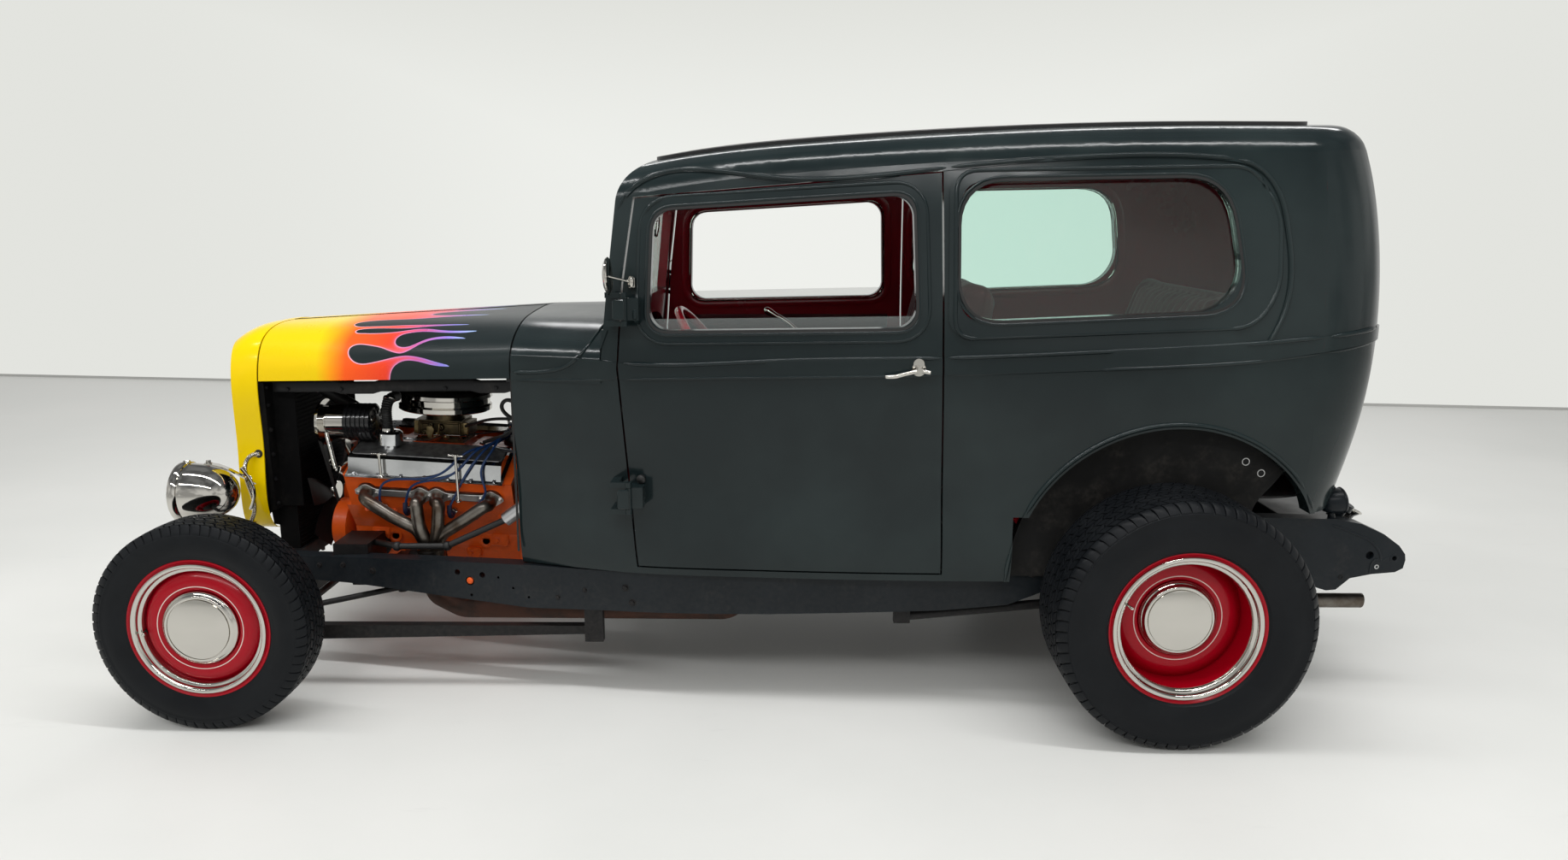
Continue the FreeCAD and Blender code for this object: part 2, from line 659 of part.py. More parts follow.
prow = plan_prism([(0, -400), (SHELL_X, -300), (PROW_X, 0), (SHELL_X, 300), (0, 400)], 300, 1200)
shell_back = HOOD_X - RUN_GAP
shell_outer = shell_solid(shell_back, 0).common(prow)
prow_in = prow.copy()
prow_in.translate(V(SHELL_T + 3, 0, 0))
shell_inner = shell_solid(shell_back + 1, SHELL_T).common(prow_in)
opening = shell_solid(shell_back + 2, SHELL_RIM).common(box(-400, 0, -400, 400, 480, 1200))
grille_shell = shell_outer.cut(shell_inner).cut(opening)
grille_zone = shell_solid(shell_back + 2, SHELL_RIM - 12)
bars = []
count = int(250 / GRILLE_PITCH)
for n in range(-count, count + 1):
    y = n * GRILLE_PITCH
    slope = (SHELL_X - PROW_X) / 300
    x = PROW_X + SHELL_T + 3 + slope * (abs(y) + GRILLE_BAR / 2) + SEAT_GAP
    bars.append(box(x, x + 14, y - GRILLE_BAR / 2, y + GRILLE_BAR / 2, 430, 1080))
bars = [b.common(grille_zone) for b in bars]
cross_bars = []
for z in (560, 700, 840, 980):
    y = 262.0
    x = PROW_X + SHELL_T + 3 + 10
    k = (SHELL_X - PROW_X) / 300
    strip = plan_prism(
        [(x + k * y, -y), (x, 0), (x + k * y, y), (x + k * y + 3, y), (x + 3, 0), (x + k * y + 3, -y)],
        z, z + 6,
    )
    cross_bars.append(strip.common(grille_zone))
grille = join(*bars, *cross_bars)
radiator = box(RAD_X0, RAD_X0 + 62, -225, 225, 360 + SEAT_GAP, 1000)
radiator_tank = box(RAD_X0, RAD_X0 + 70, -205, 205, 1000, 1045)
radiator_flange = front_prism(
    [(-272, 500), (272, 500), (281, 700), (284, 912), (-284, 912), (-281, 700)], RAD_X0,
    RAD_X0 + 16.7,
)
radiator = join(radiator, radiator_tank, radiator_flange)

# Headlamps
LAMP_Y = 420.0
LAMP_Z = 596.0
LAMP_X = -200.0
LAMP_D = 178.0


def turn_x(points, x, y, z):
    """Turn an outline of (x, radius) corners about an axis along the car."""
    wire = polygon([(x + a, y, z + r) for a, r in points])
    return Part.Face(wire).revolve(V(x, y, z), V(1, 0, 0), 360)


def turn_up(points, x, y, z):
    """Turn an outline of (radius, z) corners about an upright axis."""
    wire = polygon([(x + r, y, z + h) for r, h in points])
    return Part.Face(wire).revolve(V(x, y, z), V(0, 0, 1), 360)


r = LAMP_D / 2
bucket_room = turn_x(
    [
        (0, 0), (0, r + SEAT_GAP - 4), (8, r + SEAT_GAP), (22, r + SEAT_GAP),
        (70, r * 0.92 + SEAT_GAP), (120, r * 0.62 + SEAT_GAP), (158, r * 0.3), (160, 0),
    ],
    LAMP_X, -LAMP_Y, LAMP_Z,
)
bucket = turn_x(
    [(0, 0), (0, r - 4), (8, r), (22, r), (70, r * 0.92), (120, r * 0.62), (150, r * 0.3), (158, 0)],
    LAMP_X, -LAMP_Y, LAMP_Z,
)
lens = turn_x([(-14, 0), (-10, r * 0.5), (-SEAT_GAP, r - 8), (-SEAT_GAP, 0)], LAMP_X, -LAMP_Y, LAMP_Z)
# Frame rails


def rail():
    outer_edge = spline([(x, -y, 100) for x, y in RAIL_PLAN])
    inner_edge = spline([(x, -(y - RAIL_W), 100) for x, y in RAIL_PLAN[::-1]])
    a = outer_edge.valueAt(outer_edge.LastParameter)
    b = inner_edge.valueAt(inner_edge.FirstParameter)
    c = inner_edge.valueAt(inner_edge.LastParameter)
    d = outer_edge.valueAt(outer_edge.FirstParameter)
    band = Part.Face(Part.Wire([
        outer_edge, Part.makeLine(a, b), inner_edge, Part.makeLine(c, d),
    ])).extrude(V(0, 0, 700))
    flat = side_prism(RAIL_TOP + RAIL_LOW[::-1], -700, -100)
    return band.common(flat)


rail_left = rail()
RAIL_HOLES = [
    (613, 354, 18), (653, 329, 28), (694, 351, 18), (746, 347, 8), (793, 317, 8), (842, 292, 8),
    (656, 284, 9), (3343, 446, 24), (3418, 436, 14),
]
rail_left = rail_left.cut(join(*[rod((x, -700, z), (x, -250, z), d) for x, z, d in RAIL_HOLES]))
both_rails = join(rail_left, mirror(rail_left))


stand_path = [
    V(-50, -312, 371), V(-60, -318, 440), V(LAMP_X + 95, -LAMP_Y, 480),
    V(LAMP_X + 95, -LAMP_Y, LAMP_Z),
]
stand = join(
    *[Part.makeCylinder(11, (b - a).Length, a, b - a) for a, b in zip(stand_path, stand_path[1:])],
    *[Part.makeSphere(11, q) for q in stand_path[1:3]],
)
stand = join(stand, rod((-50, -305, 372.3), (-50, -305, 382), 60).common(box(-90, 0, -328, -200, 0, 900)))
headlamp_stand = middle(stand.cut(bucket_room).cut(rail_left))


def cross(x0, x1, z0, z1):
    half = interpolate(RAIL_PLAN, (x0 + x1) / 2)
    return box(x0, x1, -half, half, z0, z1).cut(both_rails)


front_member = middle(cross(-45, 45, 318, 360))
mid_member = front_prism(
    [
        (-600, 285), (-230, 285), (-170, 168), (170, 168), (230, 285), (600, 285), (600, 330),
        (210, 330), (150, 205), (-150, 205), (-210, 330), (-600, 330),
    ],
    1120, 1180,
)
mid_member = mid_member.common(box(0, 4000, -557, 557, 0, 1000)).cut(both_rails)
mid_member = middle(mid_member)
rear_member = middle(cross(2825, 2885, 475, 530))

# Front axle, spring and wishbones
AXLE_Z = 202.0
beam = front_prism(
    [
        (-430, AXLE_Z - 28), (430, AXLE_Z - 28), (560, 300), (KINGPIN_Y + 18, 300),
        (KINGPIN_Y + 18, 330), (545, 330), (425, AXLE_Z + 22), (-425, AXLE_Z + 22), (-545, 330),
        (-KINGPIN_Y - 18, 330), (-KINGPIN_Y - 18, 300), (-560, 300),
    ],
    -22, 22,
)
kingpin_hole = Part.makeCylinder(12.5, 200, V(0, -KINGPIN_Y, 250))
beam = beam.cut(kingpin_hole).cut(mirror(kingpin_hole))
spring_front = front_prism([(-418, 262), (0, 309), (418, 262), (418, 270), (0, 317.7), (-418, 270)], -22, 22)
shackles = [box(-15, 15, s * 408 - 8, s * 408 + 8, AXLE_Z + 22.3, 262) for s in (-1, 1)]
spring_front = join(spring_front, *shackles)
rods = []
for s in (-1, 1):
    pts = [(22.3, 176), (22.3, 222), (200, 200), (1010, 204), (1050, 190), (1010, 178), (200, 156)]
    rods.append(side_prism([(x, z) for x, z in pts], s * ROD_Y - 16, s * ROD_Y + 16))
rod_mount = middle(box(1015, 1070, -ROD_Y - 45, -ROD_Y - 16.3, 165, 300).cut(rail_left))
rod_mounts = both(rod_mount)

# Knuckles and brakes, tie rod and pitman arm

def knuckle(side):
    y = side * KINGPIN_Y
    pin = Part.makeCylinder(12, 84, V(0, y, 273))
    ears = join(*[box(
        -24, 24, min(y - side * 24, y + side * 40), max(y - side * 24, y + side * 40), z, z + 26.5,
    ) for z in (273, 330.5)])
    plate = box(-24, 24, min(y + side * 31, y + side * 40), max(y + side * 31, y + side * 40), 273, 357)
    plate2 = rod((0, y + side * 40, 300), (0, y + side * 48, 300), 250)
    spindle = rod((0, y + side * 30, 300), (0, side * (TYRE_F_Y + 30), 300), 30)
    arm = box(20, ARM_L, y - 11, y + 11, TIE_Z + 24, TIE_Z + 38)
    ball = rod((ARM_L, y, TIE_Z + 11.3), (ARM_L, y, TIE_Z + 38), 24)
    return join(pin, ears, plate, plate2, spindle, arm, ball)


tie = rod((ARM_L, -KINGPIN_Y, TIE_Z), (ARM_L, KINGPIN_Y, TIE_Z), 22)
tie_ends = [rod((ARM_L, s * KINGPIN_Y, TIE_Z - 13), (ARM_L, s * KINGPIN_Y, TIE_Z + 9.5), 30) for s in (-1, 1)]
drag = rod((PITMAN_X + ARM_L, -PITMAN_Y, TIE_Z), (ARM_L, -ROD_Y, TIE_Z), 18)
drag_end = rod((PITMAN_X + ARM_L, -PITMAN_Y, TIE_Z - 13), (PITMAN_X + ARM_L, -PITMAN_Y, TIE_Z + 9.5), 30)
tie_rod = join(tie, drag, drag_end, *tie_ends)
pitman = join(
    box(PITMAN_X - 16, PITMAN_X + ARM_L + 16, -PITMAN_Y - 14, -PITMAN_Y + 14, TIE_Z + 10, TIE_Z + 22),
    rod((PITMAN_X, -PITMAN_Y, TIE_Z + 10), (PITMAN_X, -PITMAN_Y, TIE_Z + 44), 26),
)
steering_box = middle(box(
    PITMAN_X - 50, PITMAN_X + 60, -PITMAN_Y - 60, -PITMAN_Y + 90, TIE_Z + 44.3, 410,
).cut(rail_left).cut(join(*shaft)))

# Wheels and tyres


def tyre(d, w, rim_d, y, x, z, side):
    r0 = rim_d / 2 - 6
    r1 = d / 2
    h = w / 2
    bead = h * BEAD - SEAT_GAP
    half = [
        (r0, bead), (r0 + 15, bead), (r0 + 30, h * 0.93), ((r0 + r1) / 2, h), (r1 - 22, h * 0.93),
        (r1 - 5, h * 0.78), (r1, h * 0.6),
    ]
    return lathe([(r, -a) for r, a in half] + half[::-1], x, side * y, z)


def wheel(w, rim_d, y, x, z, side, dish):
    r0 = rim_d / 2 - 6 - SEAT_GAP
    bead = w / 2 * BEAD
    h = bead + 3
    t = RIM_T
    lip = rim_d / 2 + 5
    pts = [
        (lip, h), (lip, bead), (r0, bead), (r0, bead - 14), (r0 - 16, bead - 30),
        (r0 - 16, 30 - bead), (r0, 14 - bead), (r0, -bead), (lip, -bead), (lip, -h), (r0 - t, -h),
        (r0 - t, 10 - bead), (r0 - 16 - t, 28 - bead), (r0 - 16 - t, bead - 28),
        (r0 - t, bead - 10), (r0 - t, h),
    ]
    pts = [(r, side * a) for r, a in pts]
    face_y = h - dish
    disc = [
        (HUB_D / 2, face_y - 30), (90, face_y - 8), (r0 - 16 - t / 2, face_y - 26),
        (r0 - 16 - t / 2, face_y - 32), (90, face_y - 14), (HUB_D / 2, face_y - 36),
    ]
    disc = [(r, side * a) for r, a in disc]
    cap = [
        (0, face_y + 14), (45, face_y + 12), (CAP_D / 2 - 30, face_y + 2),
        (CAP_D / 2 - 26, face_y - 6), (CAP_D / 2 - 30, face_y - 12), (40, face_y - 12),
        (40, face_y - 31), (0, face_y - 31),
    ]
    cap = [(r, side * a) for r, a in cap]
    return join(lathe(pts, x, side * y, z), lathe(disc, x, side * y, z), lathe(cap, x, side * y, z))


os.makedirs("parts", exist_ok=True)
ZF = TYRE_F_D / 2
ZR = TYRE_R_D / 2
for side, name in ((-1, "left"), (1, "right")):
    save("tyre_front_" + name, tyre(TYRE_F_D, TYRE_F_W, RIM_F_D, TYRE_F_Y, 0, ZF, side))
    save("tyre_rear_" + name, tyre(TYRE_R_D, TYRE_R_W, RIM_R_D, TYRE_R_Y, WHEELBASE, ZR, side))
    hole_f = rod((0, side * 500, ZF), (0, side * (TYRE_F_Y + 31), ZF), 31)
    save("wheel_front_" + name, wheel(TYRE_F_W, RIM_F_D, TYRE_F_Y, 0, ZF, side, DISH_F).cut(hole_f))
    hole_r = rod(
        (WHEELBASE, side * 500, ZR), (WHEELBASE, side * (TYRE_R_Y + SHAFT_OUT + 1), ZR),
        SHAFT_D + 2 * SEAT_GAP,
    )
    save("wheel_rear_" + name, wheel(TYRE_R_W, RIM_R_D, TYRE_R_Y, WHEELBASE, ZR, side, DISH_R).cut(hole_r))
    save("knuckle_" + name, knuckle(side))

# Rear axle and driveline
axle_tube = rod((WHEELBASE, -560, ZR), (WHEELBASE, 560, ZR), AXLE_R_D)
pumpkin = Part.makeSphere(150, V(WHEELBASE, 0, ZR)).common(box(
    WHEELBASE - 120, WHEELBASE + 130, -150, 150, 100, 600,
))
shafts = rod((WHEELBASE, -TYRE_R_Y - SHAFT_OUT, ZR), (WHEELBASE, TYRE_R_Y + SHAFT_OUT, ZR), SHAFT_D)
drums = both(rod((WHEELBASE, -575, ZR), (WHEELBASE, -TYRE_R_Y + TYRE_R_W / 2 - 34, ZR), 250))
rear_axle = join(axle_tube, pumpkin, shafts, *drums)
spring_rear = front_prism(
    [(-440, 436), (0, 474.7), (440, 436), (440, 426), (0, 458), (-440, 426)], 2830, 2880,
)
perches = [join(
    box(WHEELBASE, 2880, s * 418 - 14, s * 418 + 14, ZR - 25, ZR + 10),
    box(2835, 2875, s * 418 - 14, s * 418 + 14, ZR, 425.7),
) for s in (-1, 1)]
rear_axle = join(rear_axle, *perches)
rear_bar = rod((1960, -540, 262), (WHEELBASE, -500, ZR - 30), 28)
rear_bar_mount = middle(box(1938, 1986, -555, -525, 245, 350).cut(rail_left))
rear_axle = join(rear_axle, *both(rear_bar), *both(rear_bar_mount))
tank = side_prism(TANK_SIDE, -480, 480)
tank = tank.makeFillet(24, [e for e in tank.Edges if e.BoundBox.YLength > 900])
tank = middle(tank.cut(both_rails))
tank_neck = rod((3272, -375, 500), (3300, -385, 566), 46)
tank_cap = rod((3299, -385, 562), (3307, -388, 580), 66)
tank = join(tank, tank_neck, tank_cap)
lamp_stem = middle(rod((3262, -478, 500), (3262, -478, 600), 16).cut(rail_left))
tail_lamp = join(lamp_stem, rod((3236, -478, 600), (3290, -478, 606), 72))

# Engine


def leaned(shape):
    """Engine pieces are drawn level and then lean back about the crankshaft's middle."""
    out = shape.copy()
    out.rotate(V(ENGINE_X, 0, CRANK_Z), V(0, 1, 0), ENGINE_LEAN)
    return out


def bank(half, x0, x1):
    """One bank's section of (out, up) corners, made solid between two places along the engine."""
    return front_prism([(-a, CRANK_Z + u) for a, u in half], x0, x1)


e0 = ENGINE_X - ENGINE_L / 2
e1 = ENGINE_X + ENGINE_L / 2
block_x0 = e0 - 14
block_x1 = e1 + 20
BELL_R = 165.0
GEARBOX = [(0, 0), (0, 160), (90, 156), (160, 105), (520, 88), (700, 58), (760, 46), (760, 0)]

block = bank(BLOCK_HALF + [(-a, u) for a, u in BLOCK_HALF[-2:0:-1]], block_x0, block_x1)
head = bank(HEAD_HALF, e0, e1)
bell = turn_x([(0, 0), (0, BELL_R), (21.7, BELL_R), (21.7, 0)], e1, 0, CRANK_Z)
timing = turn_x([(-28, 0), (-28, 62), (-20, 98), (0, 112), (0, 0)], block_x0, 0, CRANK_Z)
damper = turn_x(
    [
        (-100, 0), (-100, 22), (-90, 24), (-90, 66), (-100, 70), (-100, 76), (-48, 76), (-48, 60),
        (-70, 52), (-70, 30), (-28, 30), (-28, 0),
    ],
    block_x0, 0, CRANK_Z,
)
pump = turn_x(
    [
        (-82, 0), (-82, 60), (-76, 54), (-66, 54), (-60, 60), (-52, 60), (-52, 24), (-34, 24),
        (-30, 62), (0, 70), (0, 0),
    ],
    block_x0, 0, CRANK_Z + 140,
)
sump = side_prism(
    [
        (block_x0 + 8, -71), (block_x0 + 8, -96), (440, -104), (470, -178), (690, -178),
        (715, -100), (block_x1 - 6, -92), (block_x1 - 6, -71),
    ],
    -112, 112,
)
sump.translate(V(0, 0, CRANK_Z))
sump = sump.makeFillet(
    14, [e for e in sump.Edges if e.BoundBox.YLength > 200 and e.BoundBox.ZMax < CRANK_Z - 90],
)
plugs = [rod(
    (ENGINE_X + dx, -160, CRANK_Z + 32), (ENGINE_X + dx, 160, CRANK_Z + 32), 42,
) for dx in (-150, 0, 150)]
distributor = turn_up(
    [(0, 239), (33, 239), (33, 330), (54, 330), (54, 372), (36, 394), (0, 394)], 692, 0, CRANK_Z,
)
engine = leaned(join(block, *both(head), bell, timing, damper, pump, sump, *plugs, distributor))

cover_x0 = ENGINE_X + COVER_X - COVER_L / 2
cover = bank(COVER_HALF, cover_x0, cover_x0 + COVER_L)
cover_flange = bank(FLANGE_HALF, cover_x0 - 7, cover_x0 + COVER_L + 7)
breather = turn_up(
    [(0, 0), (24, 0), (24, 12), (38, 16), (38, 52), (30, 60), (0, 63)], 335, -232, CRANK_Z + 342,
)
cover = leaned(join(cover, cover_flange, breather)).cut(engine)
cover.translate(V(0, 0, SEAT_GAP))

# Exhaust
out_dir = V(0, -(HEAD_HALF[1][1] - HEAD_HALF[0][1]), -(HEAD_HALF[1][0] - HEAD_HALF[0][0]))
out_dir.normalize()
face_dir = V(0, -out_dir.z, out_dir.y) * -1
HEADER_PATHS = [
    [(312, -322, 540), (380, -326, 497), (456, -320, 455), (COLLECTOR_X - 11, -HEADER_Y, 388)],
    [(459, -330, 542), (466, -332, 470), (COLLECTOR_X - 9, -HEADER_Y, 388)],
    [(531, -330, 540), (525, -332, 470), (COLLECTOR_X + 9, -HEADER_Y, 388)],
    [(672, -322, 530), (602, -326, 483), (534, -320, 440), (COLLECTOR_X + 11, -HEADER_Y, 388)],
]
header_flange = []
ports = []
for dx in PORTS:
    port = V(ENGINE_X + dx, -PORT_OUT, CRANK_Z + PORT_UP) + out_dir * SEAT_GAP
    header_flange.append(Part.makeCylinder(31, 8, port, out_dir))
    ports.append(port)
a = ports[0] - face_dir * 17
b = ports[0] + face_dir * 17
strip = polygon([(ports[0].x - 20, p.y, p.z) for p in (a, b, b + out_dir * 8, a + out_dir * 8)])
header_flange.append(Part.Face(strip).extrude(V(ports[-1].x - ports[0].x + 40, 0, 0)))
header = [leaned(join(*header_flange))]
turn = FreeCAD.Rotation(V(0, 1, 0), ENGINE_LEAN)
centre = V(ENGINE_X, 0, CRANK_Z)
for port, path in zip(ports, HEADER_PATHS):
    start = centre + turn.multVec(port + out_dir * 4 - centre)
    knee = start + turn.multVec(out_dir) * 34
    header.append(tube([tuple(start), tuple(knee)] + path, HEADER_D, HEADER_BEND))
collector = turn_up([(0, 300), (36, 300), (36, 345), (46, 392), (0, 392)], COLLECTOR_X, -HEADER_Y, 0)
header = join(*header, collector)
pipe_path = [
    (COLLECTOR_X, -HEADER_Y, 300 - SEAT_GAP), (COLLECTOR_X, -HEADER_Y, 240),
    (COLLECTOR_X + 90, -HEADER_Y, 192), (1440, -HEADER_Y, 192), (1520, -MUFFLER_Y, MUFFLER_Z),
    (1642, -MUFFLER_Y, MUFFLER_Z),
]
muffler = turn_x([(0, 0), (0, 50), (14, 62), (426, 62), (440, 50), (440, 0)], 1640, -MUFFLER_Y, MUFFLER_Z)
tail_path = [
    (2078, -MUFFLER_Y, MUFFLER_Z), (2360, -MUFFLER_Y, MUFFLER_Z + 6), (2560, -MUFFLER_Y, 282),
    (2900, -MUFFLER_Y - 60, 283), (3150, -450, 288), (3362, -450, 289),
]
tail = tube(tail_path, TAIL_D, 160.0)
tail = middle(tail.cut(side_prism([(3347, 200), (3369, 400), (3500, 400), (3500, 200)], -600, -300)))
pipe = join(tube(pipe_path, PIPE_D, 70.0), muffler, tail)

intake = bank(
    [(93.6, 240.6), (119.4, 300.4), (84, 322), (-84, 322), (-119.4, 300.4), (-93.6, 240.6)], 262,
    652,
)
plenum = box(ENGINE_X + CARB_X - 85, ENGINE_X + CARB_X + 85, -72, 72, CRANK_Z + 321, CRANK_Z + 336)
runners = [box(
    ENGINE_X + dx - 24, ENGINE_X + dx + 24, -104, 104, CRANK_Z + 300, CRANK_Z + 328,
) for dx in (-158, -88, 20, 90)]
intake = leaned(join(intake, plenum, *runners))
carb_x = ENGINE_X + CARB_X
carb_z = CRANK_Z + 336 + SEAT_GAP
carb_parts = [
    box(carb_x - 80, carb_x + 80, -68, 68, carb_z, carb_z + 12),
    box(carb_x - 62, carb_x + 62, -60, 60, carb_z + 12, carb_z + 62),
    box(carb_x - 92, carb_x - 58, -46, 46, carb_z + 20, carb_z + 66),
    box(carb_x + 58, carb_x + 92, -46, 46, carb_z + 20, carb_z + 66),
    box(carb_x - 70, carb_x + 70, -64, 64, carb_z + 60, carb_z + 72),
    Part.makeCylinder(64, 24, V(carb_x, 0, carb_z + 72)),
    rod((carb_x - 30, -84, carb_z + 30), (carb_x - 30, 84, carb_z + 30), 16),
    rod((carb_x + 34, -88, carb_z + 22), (carb_x + 34, 88, carb_z + 22), 10),
]
carb = leaned(join(*carb_parts))
cleaner_z = carb_z + 96 + SEAT_GAP
outline = [
    (0, 0), (70, 0), (84, 8), (146, 8), (152, 12), (152, 26), (145, 32), (145, 50), (152, 54),
    (150, 66), (60, 76), (14, 78), (12, 90), (0, 92),
]
cleaner = leaned(turn_up(outline, carb_x, 0, cleaner_z))

ALT_Y = 200.0
ALT_Z = 775.0
fins = [(x + dx, r) for x in (222, 238, 254, 270) for dx, r in ((0, 49), (0, 56), (8, 56), (8, 49))]
alternator = turn_x(
    [
        (118, 0), (118, 34), (126, 28), (132, 34), (132, 70), (142, 74), (142, 50), (156, 50),
        (160, 56), (214, 56), (214, 49),
    ] + fins + [(286, 49), (286, 54), (302, 50), (302, 0)],
    0, -ALT_Y, ALT_Z,
)
ear = box(206, 222, -ALT_Y - 20, -ALT_Y + 36, 560, ALT_Z - 40).cut(engine)
alternator = join(alternator, middle(ear))

gearbox_x = e1 + 22
gearbox = leaned(turn_x(GEARBOX, gearbox_x, 0, CRANK_Z))
tail_point = centre + turn.multVec(V(gearbox_x + GEARBOX[-1][0], 0, CRANK_Z) - centre)
yoke = Part.makeSphere(44, tail_point)
driveshaft = rod(tuple(tail_point), (WHEELBASE - 123.2, 0, ZR), 70)
driveline = join(gearbox, yoke, driveshaft)

# Engine and gearbox mounts
mount = middle(box(345, 395, -450, -100, 305, 340).cut(rail_left).cut(engine))
pad = middle(box(1126, 1174, -48, 48, 204, 300).cut(driveline))
mid_member = join(mid_member, pad)

# Lamp wires' tube and door handle
conduit = tube(CONDUIT, CONDUIT_D)
line = Part.makeLine(V(HANDLE_X, -900, HANDLE_Z), V(HANDLE_X, -300, HANDLE_Z))
door_y = min(v.Y for v in outer.common(line).Vertexes)
handle_y = door_y - 34
lever = tube([(HANDLE_X + dx, handle_y, HANDLE_Z + dz) for dx, dz in HANDLE_LINE], 12, 60.0)
tip = Part.makeSphere(6, V(HANDLE_X + HANDLE_LINE[-1][0], handle_y, HANDLE_Z + HANDLE_LINE[-1][1]))
spindle = rod((HANDLE_X, handle_y - 6, HANDLE_Z), (HANDLE_X, door_y + 8, HANDLE_Z), 17)
rose = Part.makeCylinder(19, 8, V(HANDLE_X, door_y - 8, HANDLE_Z), V(0, 1, 0))
rose_high = Part.makeCylinder(15, 8, V(HANDLE_X, door_y - 8, HANDLE_Z + 14), V(0, 1, 0))
handle = join(lever, tip, spindle, rose, rose_high)
handle = middle(handle.cut(outer))
handle.translate(V(0, -SEAT_GAP, 0))

save("frame_rails", *both(rail_left))
save("crossmembers", front_member, mid_member, rear_member, *both(mount))
save("front_axle", beam)
save("springs", spring_front, spring_rear)
save("radius_rods", *rods, *rod_mounts)
save("tie_rod", tie_rod)
save("pitman_arm", pitman)
save("steering_box", steering_box)
save("steering_column", column)
save("steering_wheel", steering_wheel)
save("rear_axle", rear_axle)
save("driveline", driveline)
save("fuel_tank", tank)
save("tail_lamps", *both(tail_lamp))
save("engine", engine)
save("valve_covers", *both(cover))
save("headers", *both(header))
save("exhaust_pipes", *both(pipe))
save("intake", intake)
save("carburettor", carb)
save("air_cleaner", cleaner)
save("alternator", alternator)
save("grille_shell", grille_shell)
save("grille", grille)
save("radiator", radiator)
save("headlamps", *both(bucket))
save("headlamp_lenses", *both(lens))
save("headlamp_stands", *both(headlamp_stand))
save("lamp_conduits", *both(conduit))
save("hood_left", hood_left)
save("hood_right", mirror(hood_left))
save("hood_supports", hood_pin, *both(support))
for n, turn in (("left", 0), ("right", 1)):
    save("door_" + n, both(door_side)[turn])
    save("door_glass_" + n, both(door_pane)[turn])
    save("handle_" + n, both(handle)[turn])
save("cowl", cowl)
save("quarter_panels", *both(quarter))
save("rear_panel", rear_panel)
save("roof", roof)
save("roof_insert", roof_insert)
save("body_glass", windshield, back_glass, *both(quarter_pane))
save("wheelhouses", *both(tub))
floor = join(floor, *[x for leg in seat_legs for x in both(leg)]).cut(both_rails)
save("floor", floor)
save("firewall", firewall)
save("dashboard", dash)
save("seat_front", *both(seat_front_left))
save("seat_rear", seat_rear)
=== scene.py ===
import bpy
import bmesh
import json
import math
import random
from mathutils import Matrix, Vector, bvhtree


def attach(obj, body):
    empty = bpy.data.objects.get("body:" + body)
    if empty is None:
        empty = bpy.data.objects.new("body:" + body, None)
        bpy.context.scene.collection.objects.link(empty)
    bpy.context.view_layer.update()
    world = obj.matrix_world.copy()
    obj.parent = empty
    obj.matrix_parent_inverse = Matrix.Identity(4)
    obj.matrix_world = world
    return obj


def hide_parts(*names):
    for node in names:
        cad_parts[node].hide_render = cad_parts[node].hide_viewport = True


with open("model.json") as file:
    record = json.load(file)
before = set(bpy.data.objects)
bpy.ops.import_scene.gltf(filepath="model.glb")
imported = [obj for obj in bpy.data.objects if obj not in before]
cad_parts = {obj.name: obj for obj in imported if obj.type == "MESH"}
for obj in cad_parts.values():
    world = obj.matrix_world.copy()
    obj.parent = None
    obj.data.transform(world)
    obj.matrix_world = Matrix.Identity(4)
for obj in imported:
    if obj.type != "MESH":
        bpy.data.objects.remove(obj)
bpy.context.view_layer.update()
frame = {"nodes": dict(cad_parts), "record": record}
nodes = frame["nodes"]

# Lengths along the car are given from the front axle, in metres. The driver's left is -y.
AXLE_X = -1.5765
WHEELBASE = 2.692
SIDES = ((-1, "left"), (1, "right"))


def at(x, y, z):
    """A point given from the front axle, as a place in the frame."""
    return Vector((x + AXLE_X, y, z))


def path(side, *points):
    """Points from the front axle as a list of places; their y is counted out to one side."""
    return [at(x, side * y, z) for x, y, z in points]


def mm(*points):
    """Flat points given in millimetres, as metres."""
    return [(a / 1000, b / 1000) for a, b in points]


# Camera: place, angles and lens as fitted to the photograph
VIEW_PLACE = (1.655, -3.5958, 1.419)
VIEW_YAW = 0.013891
VIEW_PITCH = 0.192988
VIEW_ROLL = -0.00262
VIEW_FOCUS = 1269.15
VIEW_WIDE = 1835.0
SENSOR = 36.0


def make_camera():
    """The photograph's camera, from the fitted place, angles and lens."""
    data = bpy.data.cameras.new("camera")
    data.sensor_width = SENSOR
    data.lens = VIEW_FOCUS * SENSOR / VIEW_WIDE
    data.clip_start = 0.05
    data.clip_end = 200
    camera = bpy.data.objects.new("camera", data)
    bpy.context.scene.collection.objects.link(camera)
    level = math.cos(VIEW_PITCH)
    ahead = Vector((-math.sin(VIEW_YAW) * level, math.cos(VIEW_YAW) * level, -math.sin(VIEW_PITCH)))
    across = Vector((math.cos(VIEW_YAW), math.sin(VIEW_YAW), 0))
    down = ahead.cross(across)
    right = across * math.cos(VIEW_ROLL) + down * math.sin(VIEW_ROLL)
    up = across * math.sin(VIEW_ROLL) - down * math.cos(VIEW_ROLL)
    turn = Matrix((right, up, -ahead)).transposed().to_4x4()
    camera.matrix_world = Matrix.Translation(at(*VIEW_PLACE)) @ turn
    bpy.context.scene.camera = camera


make_camera()


